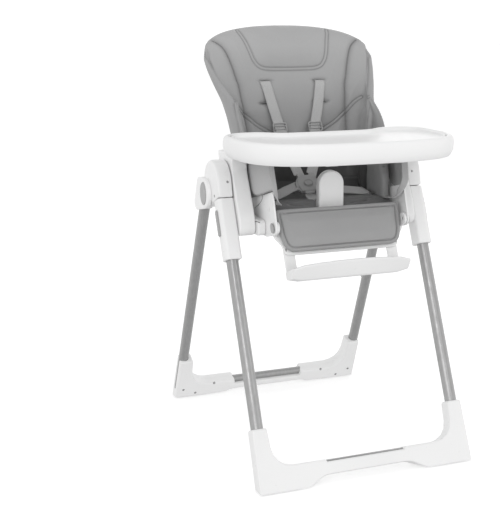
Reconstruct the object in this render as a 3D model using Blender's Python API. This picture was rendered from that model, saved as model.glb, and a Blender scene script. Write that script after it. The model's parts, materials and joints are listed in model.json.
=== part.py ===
"""Folding baby high chair: A-frame on two foot bases, sliding seat, reclining back, leg rest, footrest and tray.

Metres, +Z up, the child faces -Y, the origin is on the floor at the middle of the chair's footprint.
"""

import math

import bmesh
import bpy
from mathutils import Matrix, Vector

GAP = 0.0003
SIDES = {"left": -1, "right": 1}

# Frame: two tilted planes that hold the front and the rear legs.
FRONT_TILT = math.radians(24.0)
REAR_TILT = math.radians(24.6)
FRONT_FOOT_Y = -0.3650
REAR_FOOT_Y = 0.3660
FRONT_LEG_X = 0.2620
REAR_LEG_X_TOP = 0.2600
REAR_LEG_X_FOOT = 0.2675
LEG_RADIUS = 0.0150
REAR_LEG_RADIUS = 0.0140
LEG_WALL = 0.0018
SOCKET_TOP_Z = 0.1350
LEG_BOTTOM_Z = 0.0300
LEG_UP = (0.0, math.sin(FRONT_TILT), math.cos(FRONT_TILT))
LEG_AHEAD = (0.0, -math.cos(FRONT_TILT), math.sin(FRONT_TILT))

# Hubs at the top of the legs.
PIVOT_Y = 0.0
PIVOT_Z = 0.6580
HUB_TOP_CENTRE = (-0.0270, 0.6860)
HUB_TOP_RADIUS = 0.0600
HUB_INNER_X = 0.2425
HUB_OUTER_X = 0.2805
SLIT_Z = 0.6530
CAP_OUTER_X = 0.2905
CAP_RADIUS = 0.0385
PIN_RADIUS = 0.0060
BUTTON_HALF_Y = 0.0235
BUTTON_HALF_Z = 0.0290

# Bases.
BASE_HALF_THICKNESS = 0.0195
BASE_HALF_WIDTH = 0.2830
SOLE_THICKNESS = 0.0030
TUBE_Z = 0.0385
TUBE_RADIUS = 0.0105
SLOT_HALF_LENGTH = 0.1060
SLOT_FLOOR = 0.0360
SLOT_FLOOR_FRONT = 0.0475

# Seat.
ARM_INNER_X = 0.1980
ARM_OUTER_X = 0.2402
ARM_TOP_Z = 0.7635
TUB_HALF_WIDTH = 0.1780
TUB_WALL = 0.0040
TUB_BOTTOM_Z = 0.5660
TUB_FLOOR_Z = 0.5980
TUB_FRONT_Y = -0.1460
TUB_REAR_Y = 0.0420
TUB_SIDE_FRONT_Y = -0.1930
TUB_SIDE_FRONT_Z = 0.6830
TUB_SIDE_REAR_Z = 0.6260
RECLINE_Y = 0.0640
RECLINE_Z = 0.5950
LEG_REST_Y = -0.2030
LEG_REST_Z = 0.5970
LEG_BUTTON_LIFT = 0.0024
FOOTREST_HALF_WIDTH = 0.1540
SMALL_PIN_RADIUS = 0.0050
SLEEVE_BOTTOM_Z = 0.5110
SLEEVE_INNER_X = 0.2406
SLEEVE_OUTER_X = 0.2828
POST_HALF_WIDTH = 0.0340
POST_Y = -0.1310
POST_TOP_Z = 0.7190
POST_BOTTOM_Z = 0.5700
POST_HALF_DEPTH = 0.0110
STRAP_WIDTH = 0.0280
STRAP_THICKNESS = 0.0018
BUCKLE_CENTRE = Vector((-0.0300, -0.0560, 0.6760))
BUCKLE_TILT = math.radians(38.0)
BUCKLE_UP = (0.0, math.sin(BUCKLE_TILT), math.cos(BUCKLE_TILT))
BUCKLE_OUT = (0.0, -math.cos(BUCKLE_TILT), math.sin(BUCKLE_TILT))

# Backrest.
BACK_CURL = 5.0
BACK_CURL_Z = 0.985
BACK_TOP_Z = 1.0690
BACK_SLOPE = 0.1950
BACK_FRONT_Y_AT_83 = 0.1090
CUSHION_THICKNESS = 0.0260
SHELL_THICKNESS = 0.0060
BACK_STEPS = 10
SHELL_STEPS = 6
SHELL_HEIGHTS = (0.642, 0.72, 0.80, 0.84, 0.86, 0.88, 0.90, 0.92, 0.94, 0.96, 0.99, 1.015)
RIM_HEIGHTS = (1.035, 1.050, 1.060)
# (height, value) stops: widest half width, half width and depth position of the wings' front edge.
OUTER_WIDTH = ((0.63, 0.186), (0.76, 0.192), (0.80, 0.203), (0.86, 0.216), (0.92, 0.229), (0.98, 0.2385),
               (1.00, 0.2375), (1.02, 0.225), (1.04, 0.196), (1.055, 0.155), (1.069, 0.100))
EDGE_WIDTH = ((0.63, 0.178), (0.80, 0.188), (0.88, 0.199), (0.92, 0.218), (0.96, 0.232), (0.99, 0.237),
              (1.00, 0.236), (1.02, 0.223), (1.04, 0.193), (1.055, 0.151), (1.069, 0.096))
EDGE_Y = ((0.63, 0.012), (0.70, 0.003), (0.80, 0.002), (0.84, 0.006), (0.88, 0.034), (0.94, 0.094), (0.99, 0.136),
          (1.03, 0.155), (1.068, 0.184))

# Tray.
TRAY_HALF_WIDTH = 0.2770
TRAY_FRONT_Y = -0.3860
TRAY_MIDDLE_Y = -0.1770
TRAY_POWER = 2.9
TRAY_TIP_RADIUS = 0.072
TRAY_REAR_Y = -0.0560
TRAY_REAR_MIDDLE_Y = -0.1020
TRAY_BOTTOM_Z = 0.7640
TRAY_TOP_Z = 0.8145

WHITE = (0.88, 0.88, 0.88)
GREY_TUBE = (0.47, 0.47, 0.47)
GREY_PLASTIC = (0.52, 0.52, 0.53)
GREY_PAD = (0.38, 0.38, 0.38)
STRAP_GREY = (0.45, 0.45, 0.45)
DARK_RUBBER = (0.10, 0.10, 0.10)
STEEL = (0.60, 0.60, 0.60)


def clear_scene():
    for item in list(bpy.data.objects):
        bpy.data.objects.remove(item, do_unlink=True)


def make_material(name, colour, roughness, metallic=0.0):
    material = bpy.data.materials.new(name)
    material.use_nodes = True
    shader = material.node_tree.nodes["Principled BSDF"]
    shader.inputs["Base Color"].default_value = (*colour, 1.0)
    shader.inputs["Roughness"].default_value = roughness
    shader.inputs["Metallic"].default_value = metallic
    return material


def add_object(name, bm, material, origin=(0.0, 0.0, 0.0)):
    """Closes the mesh's normals, puts its origin on the given point and links it."""
    bmesh.ops.recalc_face_normals(bm, faces=bm.faces)
    bmesh.ops.translate(bm, verts=bm.verts, vec=-Vector(origin))
    mesh = bpy.data.meshes.new(name)
    bm.to_mesh(mesh)
    bm.free()
    mesh.materials.append(material)
    mesh.shade_smooth()
    mesh.set_sharp_from_angle(angle=math.radians(40.0))
    item = bpy.data.objects.new(name, mesh)
    item.location = origin
    bpy.context.collection.objects.link(item)
    return item


def add_cutter(name, bm):
    bmesh.ops.recalc_face_normals(bm, faces=bm.faces)
    mesh = bpy.data.meshes.new(name)
    bm.to_mesh(mesh)
    bm.free()
    item = bpy.data.objects.new(name, mesh)
    item.hide_render = True
    item.display_type = "WIRE"
    bpy.context.collection.objects.link(item)
    return item


def add_boolean(item, cutter, operation):
    step = item.modifiers.new(cutter.name, "BOOLEAN")
    step.operation = operation
    step.solver = "EXACT"
    step.object = cutter


def cut(item, bm):
    add_boolean(item, add_cutter(f"cut_{item.name}_{len(item.modifiers)}", bm), "DIFFERENCE")


def join(item, bm):
    add_boolean(item, add_cutter(f"join_{item.name}_{len(item.modifiers)}", bm), "UNION")


def fillet(corners, steps=5):
    """Turns a list of (u, v, radius) corners into an outline whose corners are arcs."""
    points = []
    count = len(corners)
    for index, (u, v, radius) in enumerate(corners):
        here = Vector((u, v))
        before = Vector(corners[index - 1][:2]) - here
        after = Vector(corners[(index + 1) % count][:2]) - here
        if radius <= 0.0:
            points.append(here)
            continue
        a = before.normalized()
        b = after.normalized()
        half = math.acos(max(-1.0, min(1.0, a.dot(b)))) / 2.0
        reach = min(radius / math.tan(half), 0.499 * before.length, 0.499 * after.length)
        centre = here + (a + b).normalized() * (reach / math.cos(half))
        start = here + a * reach - centre
        turn = start.angle_signed(here + b * reach - centre)
        for step in range(steps + 1):
            points.append(centre + Matrix.Rotation(-turn * step / steps, 2) @ start)
    return points


def stretched_circle(centre, half_u, half_v, count=24):
    turns = [math.tau * k / count for k in range(count)]
    return [Vector((centre[0] + half_u * math.cos(a), centre[1] + half_v * math.sin(a))) for a in turns]


def circle(centre, radius, count=24):
    return stretched_circle(centre, radius, radius, count)


def hull(points):
    """Convex outline round a set of points, counter-clockwise."""
    ordered = sorted(points, key=lambda p: (p.x, p.y))

    def chain(items):
        out = []
        for p in items:
            while len(out) > 1 and (out[-1] - out[-2]).cross(p - out[-1]) <= 1e-12:
                out.pop()
            out.append(p)
        return out[:-1]

    return chain(ordered) + chain(ordered[::-1])


def inset(outline, distance):
    """Moves an outline inwards by a distance, along the bisector at each of its points."""
    area = sum(outline[k - 1].cross(outline[k]) for k in range(len(outline)))
    sign = 1.0 if area > 0.0 else -1.0
    moved = []
    count = len(outline)
    for k, point in enumerate(outline):
        a = (point - outline[k - 1]).normalized()
        b = (outline[(k + 1) % count] - point).normalized()
        normal_a = Vector((-a.y, a.x)) * sign
        normal_b = Vector((-b.y, b.x)) * sign
        moved.append(point + (normal_a + normal_b) * (distance / max(0.35, 1.0 + normal_a.dot(normal_b))))
    return moved


def loft(rings):
    """A closed skin through rings of equal point counts, with flat ends."""
    bm = bmesh.new()
    rows = [[bm.verts.new(p) for p in ring] for ring in rings]
    count = len(rows[0])
    for lower, upper in zip(rows, rows[1:]):
        for k in range(count):
            bm.faces.new((lower[k], lower[(k + 1) % count], upper[(k + 1) % count], upper[k]))
    bm.faces.new(rows[0][::-1])
    bm.faces.new(rows[-1])
    bmesh.ops.recalc_face_normals(bm, faces=bm.faces)
    return bm


def on_x(u, v, w):
    """Side view plane: outline (y, z), thickness along x."""
    return Vector((w, u, v))


def on_y(u, v, w):
    """Front view plane: outline (x, z), thickness along y."""
    return Vector((u, w, v))


def on_z(u, v, w):
    """Plan view plane: outline (x, y), thickness along z."""
    return Vector((u, v, w))


def prism(outline, place, low, high, low_round=0.0, high_round=0.0, steps=2):
    """Extrudes an outline from low to high, with rounded rims at either end."""
    rings = []
    if low_round > 0.0:
        for k in range(steps):
            angle = math.pi / 2.0 * k / steps
            shape = inset(outline, low_round * (1.0 - math.sin(angle)))
            rings.append((shape, low + low_round * (1.0 - math.cos(angle))))
    rings.append((outline, low + low_round))
    if high - high_round > low + low_round + 1e-6:
        rings.append((outline, high - high_round))
    if high_round > 0.0:
        for k in range(steps - 1, -1, -1):
            angle = math.pi / 2.0 * k / steps
            shape = inset(outline, high_round * (1.0 - math.sin(angle)))
            rings.append((shape, high - high_round * (1.0 - math.cos(angle))))
    return loft([[place(p.x, p.y, w) for p in shape] for shape, w in rings])


def rod(start, end, radius, count=20):
    """A round bar between two points."""
    start = Vector(start)
    axis = Vector(end) - start
    turn = axis.to_track_quat("Z", "Y").to_matrix()
    section = [turn @ Vector((p.x, p.y, 0.0)) for p in circle((0.0, 0.0), radius, count)]
    return loft([[centre + p for p in section] for centre in (start, start + axis)])


def front_leg_y(z):
    return FRONT_FOOT_Y + z * math.tan(FRONT_TILT)


def rear_leg_y(z):
    return REAR_FOOT_Y - z * math.tan(REAR_TILT)


def front_leg_point(side, z, ahead=0.0):
    """A point at height z, a distance ahead of the front leg's axis, square to it."""
    y = front_leg_y(z) - ahead * math.cos(FRONT_TILT)
    return Vector((side * FRONT_LEG_X, y, z + ahead * math.sin(FRONT_TILT)))


def rear_leg_point(side, z):
    share = (PIVOT_Z - z) / (PIVOT_Z - SOCKET_TOP_Z)
    x = REAR_LEG_X_TOP + (REAR_LEG_X_FOOT - REAR_LEG_X_TOP) * share
    return Vector((side * x, rear_leg_y(z), z))


def leg_profile(radius, groove):
    """The front leg's section: round, with a shallow groove down its front (-v)."""
    points = []
    count = 20
    for k in range(count):
        angle = math.tau * k / count - math.pi / 2.0
        depth = groove if k == 0 else 0.0
        points.append(Vector(((radius - depth) * math.cos(angle), (radius - depth) * math.sin(angle))))
    return points


def leg_tube(start, end, outer, inner):
    """A hollow tube along a leg, open at both ends."""
    start = Vector(start)
    end = Vector(end)
    along = (end - start).normalized()
    across = Vector((1.0, 0.0, 0.0))
    forward = along.cross(across).normalized()
    across = forward.cross(along).normalized()
    bm = bmesh.new()
    rows = []
    for outline in (outer, inner):
        for centre in (start, end):
            rows.append([bm.verts.new(centre + across * p.x + forward * p.y) for p in outline])
    outer_low, outer_high, inner_low, inner_high = rows
    count = len(outer_low)
    loops = [outer_low, outer_high, inner_high, inner_low, outer_low]
    for a, b in zip(loops, loops[1:]):
        for k in range(count):
            n = (k + 1) % count
            bm.faces.new((a[k], a[n], b[n], b[k]))
    return bm


# --- bases ------------------------------------------------------------------------------------------


def base_outline(slot_floor):
    """Front view of a foot base: two feet with leg sockets, joined by a low bar with an arch under it."""
    right = [
        (0.118, 0.017, 0.060),
        (0.162, -0.014, 0.030),
        (BASE_HALF_WIDTH, -0.014, 0.0055),
        (BASE_HALF_WIDTH - 0.001, 0.060, 0.060),
        (FRONT_LEG_X + 0.0185, SOCKET_TOP_Z / math.cos(FRONT_TILT), 0.0055),
        (FRONT_LEG_X - 0.0195, SOCKET_TOP_Z / math.cos(FRONT_TILT), 0.0055),
        (FRONT_LEG_X - 0.0245, 0.0540, 0.0720),
        (SLOT_HALF_LENGTH, 0.0535, 0.0055),
        (SLOT_HALF_LENGTH - 0.003, slot_floor, 0.0),
    ]
    left = [(-u, v, radius) for u, v, radius in reversed(right)]
    return fillet(right + left, steps=4)


def tilted(foot_y, tilt):
    """Places base outlines in the plane of a pair of legs, w in front of it, ending flat at the soles."""
    direction = -1.0 if foot_y < 0.0 else 1.0

    def place(u, v, w):
        lowest = (SOLE_THICKNESS + direction * w * math.sin(tilt)) / math.cos(tilt)
        v = max(v, lowest)
        y = foot_y - direction * v * math.sin(tilt) - w * math.cos(tilt)
        return Vector((u, y, v * math.cos(tilt) - direction * w * math.sin(tilt)))

    return place


def make_base(end, foot_y, tilt, leg_radius, leg_point, materials):
    """The two moulded halves of a base, clamped round its leg ends and its cross tube."""
    place = tilted(foot_y, tilt)
    cross_y = place(0.0, TUBE_Z / math.cos(tilt), 0.0).y
    halves = {
        "front_shell": (GAP / 2.0, BASE_HALF_THICKNESS),
        "rear_shell": (-BASE_HALF_THICKNESS, -GAP / 2.0),
    }
    for half, (low, high) in halves.items():
        rounds = (0.0, 0.005) if half == "front_shell" else (0.005, 0.0)
        lip = SLOT_FLOOR_FRONT if (end, half) == ("front", "front_shell") else SLOT_FLOOR
        bm = prism(base_outline(lip), place, low, high, *rounds)
        shell = add_object(f"{end}_base_{half}", bm, materials["white"])
        cut(shell, rod((-0.2452, cross_y, TUBE_Z), (0.2452, cross_y, TUBE_Z), TUBE_RADIUS + GAP))
        for side in SIDES.values():
            bottom = leg_point(side, LEG_BOTTOM_Z - 0.0010)
            cut(shell, rod(bottom, leg_point(side, SOCKET_TOP_Z + 0.03), leg_radius + GAP))
    tube = rod((-0.2448, cross_y, TUBE_Z), (0.2448, cross_y, TUBE_Z), TUBE_RADIUS)
    cross_tube = add_object(f"{end}_cross_tube", tube, materials["tube"])
    for side in SIDES.values():
        bottom = leg_point(side, LEG_BOTTOM_Z - 0.0010)
        cut(cross_tube, rod(bottom, leg_point(side, SOCKET_TOP_Z), leg_radius + GAP))
    for name, side in SIDES.items():
        corners = [(0.176, -0.013, 0.006), (0.272, -0.013, 0.006),
                   (0.272, 0.013, 0.006), (0.176, 0.013, 0.006)]
        outline = [Vector((side * p.x, p.y + foot_y)) for p in fillet(corners, steps=3)]
        sole = prism(outline, on_z, 0.0, SOLE_THICKNESS - GAP, 0.0008, 0.0, steps=1)
        add_object(f"{end}_sole_{name}", sole, materials["rubber"])


def make_legs(materials):
    for name, side in SIDES.items():
        outer = leg_profile(LEG_RADIUS, 0.0022)
        inner = leg_profile(LEG_RADIUS - 2.0 * LEG_WALL, 0.0)
        top = front_leg_point(side, 0.7100)
        bm = leg_tube(front_leg_point(side, LEG_BOTTOM_Z), top, outer, inner)
        add_object(f"front_leg_{name}", bm, materials["tube"])
        outer = circle((0.0, 0.0), REAR_LEG_RADIUS, 20)
        inner = circle((0.0, 0.0), REAR_LEG_RADIUS - LEG_WALL, 20)
        bm = leg_tube(rear_leg_point(side, LEG_BOTTOM_Z), rear_leg_point(side, 0.6700), outer, inner)
        add_object(f"rear_leg_{name}", bm, materials["tube"])


def make_tray_hooks(materials):
    """Small hooks behind the rear legs that park the tray."""
    for name, side in SIDES.items():
        at = rear_leg_point(side, 0.330)
        reach = REAR_LEG_RADIUS + GAP
        corners = [(reach, -0.012, 0.0), (reach, 0.012, 0.0), (reach + 0.010, 0.012, 0.002),
                   (reach + 0.010, 0.004, 0.001), (reach + 0.004, 0.002, 0.001), (reach + 0.004, -0.012, 0.001)]
        outline = [Vector((at.y + p.x * math.cos(REAR_TILT) - p.y * math.sin(REAR_TILT),
                           at.z + p.x * math.sin(REAR_TILT) + p.y * math.cos(REAR_TILT)))
                   for p in fillet(corners, steps=2)]
        bm = prism(outline, on_x, at.x - 0.006, at.x + 0.006)
        add_object(f"tray_hook_{name}", bm, materials["grey"])


# --- hubs -------------------------------------------------------------------------------------------


def mirror_x(bm, side):
    """Builds are for the right side; the left one is flipped."""
    if side < 0:
        bmesh.ops.scale(bm, vec=(-1.0, 1.0, 1.0), verts=bm.verts)
        bmesh.ops.reverse_faces(bm, faces=bm.faces)
    return bm


def hub_outline():
    """Side view of the front housing: an arch over the top of the front leg and round the fold pivot."""
    low = front_leg_point(1, SLIT_Z)
    high = front_leg_point(1, SLIT_Z + 0.045)
    half = 0.0215
    ahead = Vector((-math.cos(FRONT_TILT), math.sin(FRONT_TILT))) * half
    arch = [p for p in circle(HUB_TOP_CENTRE, HUB_TOP_RADIUS, 32) if p.y > HUB_TOP_CENTRE[1] - 0.014]
    points = arch + circle((PIVOT_Y, PIVOT_Z), CAP_RADIUS - 0.0035, 24)
    for at in (low, high):
        centre = Vector((at.y, at.z))
        points += [centre + ahead, centre - ahead]
    return hull(points)


def make_hubs(materials):
    pivot = (PIVOT_Y, PIVOT_Z)
    rear_axis = Vector((rear_leg_y(PIVOT_Z), PIVOT_Z))
    down = Vector((math.sin(REAR_TILT), -math.cos(REAR_TILT)))
    for name, side in SIDES.items():
        bm = mirror_x(prism(hub_outline(), on_x, HUB_INNER_X, HUB_OUTER_X, 0.004, 0.009), side)
        housing = add_object(f"hub_housing_{name}", bm, materials["white"])
        bore = rod(front_leg_point(side, SLIT_Z - 0.03), front_leg_point(side, 0.7105), LEG_RADIUS + GAP)
        cut(housing, bore)
        at_x = (side * (HUB_INNER_X + 0.006), side * (HUB_OUTER_X + 0.01))
        cut(housing, rod((at_x[0], *pivot), (at_x[1], *pivot), PIN_RADIUS + GAP))

        # The rear housing: a cap over the pivot, a web, and a block round the top of the rear leg.
        block_top = rear_axis - down * 0.018
        block_low = rear_axis + down * 0.040
        block = circle(block_top, 0.0185, 16) + circle(block_low, 0.0185, 16)
        web = hull(circle(pivot, CAP_RADIUS, 24) + block)
        bm = mirror_x(prism(web, on_x, HUB_OUTER_X + GAP, HUB_OUTER_X + 0.0045, 0.0, 0.002), side)
        cap = add_object(f"hub_cap_{name}", bm, materials["white"], (0.0, PIVOT_Y, PIVOT_Z))
        disc = circle(pivot, CAP_RADIUS, 24)
        join(cap, mirror_x(prism(disc, on_x, HUB_OUTER_X + 0.0012, CAP_OUTER_X, 0.0, 0.0065), side))
        block = hull(circle(block_top, 0.0180, 16) + circle(block_low, 0.0180, 16))
        join(cap, mirror_x(prism(block, on_x, HUB_INNER_X + 0.0010, HUB_OUTER_X + 0.0020, 0.005, 0.0), side))
        cut(cap, rod(rear_leg_point(side, 0.5800), rear_leg_point(side, 0.6705), REAR_LEG_RADIUS + GAP))
        at_x = (side * (HUB_OUTER_X - 0.01), side * (CAP_OUTER_X - 0.0020))
        cut(cap, rod((at_x[0], *pivot), (at_x[1], *pivot), PIN_RADIUS + GAP))
        pocket = stretched_circle(pivot, BUTTON_HALF_Y + GAP, BUTTON_HALF_Z + GAP)
        cut(cap, mirror_x(prism(pocket, on_x, CAP_OUTER_X - 0.0060, CAP_OUTER_X + 0.01), side))

        inner_end = (side * (HUB_INNER_X + 0.0065), *pivot)
        outer_end = (side * (CAP_OUTER_X - 0.0066), *pivot)
        pin = rod(inner_end, outer_end, PIN_RADIUS)
        add_object(f"pivot_pin_{name}", pin, materials["steel"], (0.0, PIVOT_Y, PIVOT_Z))
        shape = stretched_circle(pivot, BUTTON_HALF_Y, BUTTON_HALF_Z)
        bm = mirror_x(prism(shape, on_x, CAP_OUTER_X - 0.0016, CAP_OUTER_X + 0.0022, 0.0, 0.0016), side)
        add_object(f"fold_button_{name}", bm, materials["grey"], (side * CAP_OUTER_X, PIVOT_Y, PIVOT_Z))


# --- seat -------------------------------------------------------------------------------------------


def frame_place(origin, right, up, out):
    """Places outlines in a plane of their own: u to the right, v up, w out of it."""
    origin = Vector(origin)
    right = Vector(right).normalized()
    up = Vector(up).normalized()
    out = Vector(out).normalized()
    return lambda u, v, w: origin + right * u + up * v + out * w


def make_sleeves(materials):
    """Sliders round the front legs, with the height lever on their outer side."""
    bottom = Vector((0.0, front_leg_y(SLEEVE_BOTTOM_Z), SLEEVE_BOTTOM_Z))
    length = (SLIT_Z - 0.0020 - SLEEVE_BOTTOM_Z) / math.cos(FRONT_TILT)
    across = frame_place(bottom, (1, 0, 0), LEG_AHEAD, LEG_UP)
    flat = frame_place(bottom, LEG_AHEAD, LEG_UP, (1, 0, 0))
    corners = [(SLEEVE_INNER_X, -0.0205, 0.005), (SLEEVE_OUTER_X, -0.0205, 0.012),
               (SLEEVE_OUTER_X, 0.0210, 0.012), (SLEEVE_INNER_X, 0.0210, 0.008)]
    lever = fillet([(-0.007, 0.062, 0.006), (0.007, 0.062, 0.006), (0.007, 0.128, 0.006),
                    (-0.007, 0.128, 0.006)], steps=3)
    for name, side in SIDES.items():
        bm = mirror_x(prism(fillet(corners, steps=4), across, 0.0, length, 0.003, 0.001), side)
        sleeve = add_object(f"height_slider_{name}", bm, materials["white"])
        low = front_leg_point(side, SLEEVE_BOTTOM_Z - 0.03)
        cut(sleeve, rod(low, front_leg_point(side, SLIT_Z + 0.03), LEG_RADIUS + GAP))
        bm = mirror_x(prism(lever, flat, SLEEVE_OUTER_X + GAP, SLEEVE_OUTER_X + 0.0040, 0.0, 0.0015), side)
        hinge = flat(0.0, 0.128, side * SLEEVE_OUTER_X)
        add_object(f"height_lever_{name}", bm, materials["grey"], hinge)


def make_arms(materials):
    """Armrest casings that carry the tray and join the sliders to the seat."""
    side_view = fillet([
        (-0.090, ARM_TOP_Z, 0.0055),
        (-0.068, 0.7330, 0.050),
        (-0.128, 0.6190, 0.120),
        (-0.143, 0.5660, 0.026),
        (-0.050, 0.5660, 0.030),
        (0.012, 0.6700, 0.060),
        (0.036, ARM_TOP_Z, 0.006),
    ], steps=3)
    for name, side in SIDES.items():
        bm = mirror_x(prism(side_view, on_x, ARM_INNER_X, ARM_OUTER_X, 0.005, 0.005), side)
        add_object(f"arm_casing_{name}", bm, materials["white"])


def tub_edge_z(y):
    """Height of the side walls' top edge, which falls towards the back."""
    share = (y - TUB_SIDE_FRONT_Y) / (TUB_REAR_Y - TUB_SIDE_FRONT_Y)
    return TUB_SIDE_FRONT_Z + (TUB_SIDE_REAR_Z - TUB_SIDE_FRONT_Z) * share


def make_tub(materials):
    """The white seat shell: a floor, two side walls and the lugs of the leg rest."""
    pivot = (LEG_REST_Y, LEG_REST_Z)
    corners = ((TUB_SIDE_FRONT_Y, tub_edge_z(TUB_SIDE_FRONT_Y)), (TUB_REAR_Y, tub_edge_z(TUB_REAR_Y)),
               (TUB_REAR_Y, TUB_BOTTOM_Z), (-0.150, TUB_BOTTOM_Z))
    side_view = hull(circle(pivot, 0.018, 20) + [Vector(p) for p in corners])
    bm = prism(side_view, on_x, -TUB_HALF_WIDTH, TUB_HALF_WIDTH, 0.0015, 0.0015, steps=2)
    tub = add_object("seat_tub", bm, materials["white"])
    inner = TUB_HALF_WIDTH - TUB_WALL
    cavity = [(-0.30, TUB_FLOOR_Z), (0.10, TUB_FLOOR_Z), (0.10, 0.80), (-0.30, 0.80)]
    cut(tub, prism([Vector(p) for p in cavity], on_x, -inner, inner))
    front = [(-0.30, 0.50), (TUB_FRONT_Y, 0.50), (TUB_FRONT_Y, 0.70), (-0.30, 0.70)]
    cut(tub, prism([Vector(p) for p in front], on_x, -inner, inner))
    low_y = TUB_FRONT_Y + TUB_WALL
    high_y = TUB_REAR_Y - TUB_WALL
    roof_z = TUB_FLOOR_Z - TUB_WALL
    under = [(low_y, 0.50), (high_y, 0.50), (high_y, roof_z), (low_y, roof_z)]
    cut(tub, prism([Vector(p) for p in under], on_x, -inner, inner))
    cut(tub, rod((-0.20, *pivot), (0.20, *pivot), SMALL_PIN_RADIUS + GAP, count=16))
    low = POST_BOTTOM_Z - 0.02
    wide = POST_HALF_WIDTH + GAP
    slot = [Vector(p) for p in ((-wide, low), (wide, low), (wide, 0.7), (-wide, 0.7))]
    cut(tub, prism(slot, on_y, POST_Y - POST_HALF_DEPTH - GAP, POST_Y + POST_HALF_DEPTH + GAP))
    rail = fillet([(-0.150, 0.5680, 0.012), (0.060, 0.5680, 0.012), (0.082, 0.5780, 0.012),
                   (0.082, 0.6120, 0.014), (0.040, 0.6120, 0.010), (-0.150, 0.6060, 0.012)], steps=3)
    for name, side in SIDES.items():
        bm = mirror_x(prism(rail, on_x, TUB_HALF_WIDTH + GAP, ARM_INNER_X - GAP, 0.002, 0.002, steps=1), side)
        seat_rail = add_object(f"seat_rail_{name}", bm, materials["white"])
        at = (RECLINE_Y, RECLINE_Z)
        cut(seat_rail, rod((side * 0.170, *at), (side * 0.1903, *at), SMALL_PIN_RADIUS + GAP, count=16))
        pin = rod((side * 0.1505, *at), (side * 0.1900, *at), SMALL_PIN_RADIUS, count=16)
        add_object(f"recline_pin_{name}", pin, materials["steel"], (0.0, *at))


def make_post(materials):
    half = POST_HALF_WIDTH
    outline = fillet([(-half, POST_BOTTOM_Z, 0.0), (half, POST_BOTTOM_Z, 0.0),
                      (half, POST_TOP_Z, 0.0335), (-half, POST_TOP_Z, 0.0335)], steps=9)
    bm = prism(outline, on_y, POST_Y - POST_HALF_DEPTH, POST_Y + POST_HALF_DEPTH, 0.004, 0.004)
    add_object("crotch_post", bm, materials["white"])


def make_seat_cushion(materials):
    """The seat pad, with a slot round the post, and the two side pads under the tray."""
    half = TUB_HALF_WIDTH - TUB_WALL - 0.0010
    top = TUB_FLOOR_Z + 0.0380
    corners = [(-half, TUB_FRONT_Y, 0.012), (half, TUB_FRONT_Y, 0.012),
               (half, 0.046, 0.020), (-half, 0.046, 0.020)]
    bm = prism(fillet(corners, steps=3), on_z, TUB_FLOOR_Z + 0.0005, top, 0.003, 0.010)
    cushion = add_object("seat_cushion", bm, materials["pad"])
    clear = 0.0015
    slot = [(-POST_HALF_WIDTH - clear, 0.55), (POST_HALF_WIDTH + clear, 0.55),
            (POST_HALF_WIDTH + clear, 0.75), (-POST_HALF_WIDTH - clear, 0.75)]
    cut(cushion, prism([Vector(p) for p in slot], on_y, POST_Y - 0.05, POST_Y + POST_HALF_DEPTH + clear))
    stations = [(-0.131, 0.150, 0.164, 0.684), (-0.126, 0.146, 0.168, 0.702), (-0.105, 0.146, 0.175, 0.734),
                (-0.070, 0.150, 0.184, 0.752), (-0.010, 0.158, 0.189, 0.757), (-0.004, 0.160, 0.186, 0.753)]
    for name, side in SIDES.items():
        rings = []
        for y, x_in, x_out, z_top in stations:
            edge_z = tub_edge_z(y) + 0.0040
            x_low = min(x_out, half)
            ring = [(x_in, top + 0.001), (x_low, top + 0.001), (x_low, edge_z), (x_out, edge_z + 0.004),
                    (x_out, z_top - 0.006), (x_out - 0.006, z_top), (x_in + 0.006, z_top),
                    (x_in, z_top - 0.006)]
            rings.append([Vector((x, y, z)) for x, z in ring])
        add_object(f"side_pad_{name}", mirror_x(loft(rings), side), materials["pad"])


def smooth_route(points, per_span=5):
    """A Catmull-Rom curve through the points."""
    route = [Vector(p) for p in points]
    padded = [2 * route[0] - route[1], *route, 2 * route[-1] - route[-2]]
    curve = []
    for a, b, c, d in zip(padded, padded[1:], padded[2:], padded[3:]):
        for k in range(per_span):
            t = k / per_span
            bend = (2 * a - 5 * b + 4 * c - d) * t * t + (3 * b - a - 3 * c + d) * t ** 3
            curve.append(0.5 * (2 * b + (c - a) * t + bend))
    return [*curve, route[-1]]


def ribbon(points, facing, width=STRAP_WIDTH, thickness=STRAP_THICKNESS, per_span=5):
    """A flat strap along a smooth route, its broad side square to the facing direction."""
    curve = smooth_route(points, per_span)
    rings = []
    for k, here in enumerate(curve):
        along = (curve[min(k + 1, len(curve) - 1)] - curve[max(k - 1, 0)]).normalized()
        across = along.cross(Vector(facing)).normalized() * (width / 2.0)
        out = across.cross(along).normalized() * (thickness / 2.0)
        rings.append([here - across - out, here + across - out, here + across + out, here - across + out])
    return loft(rings)


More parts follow.
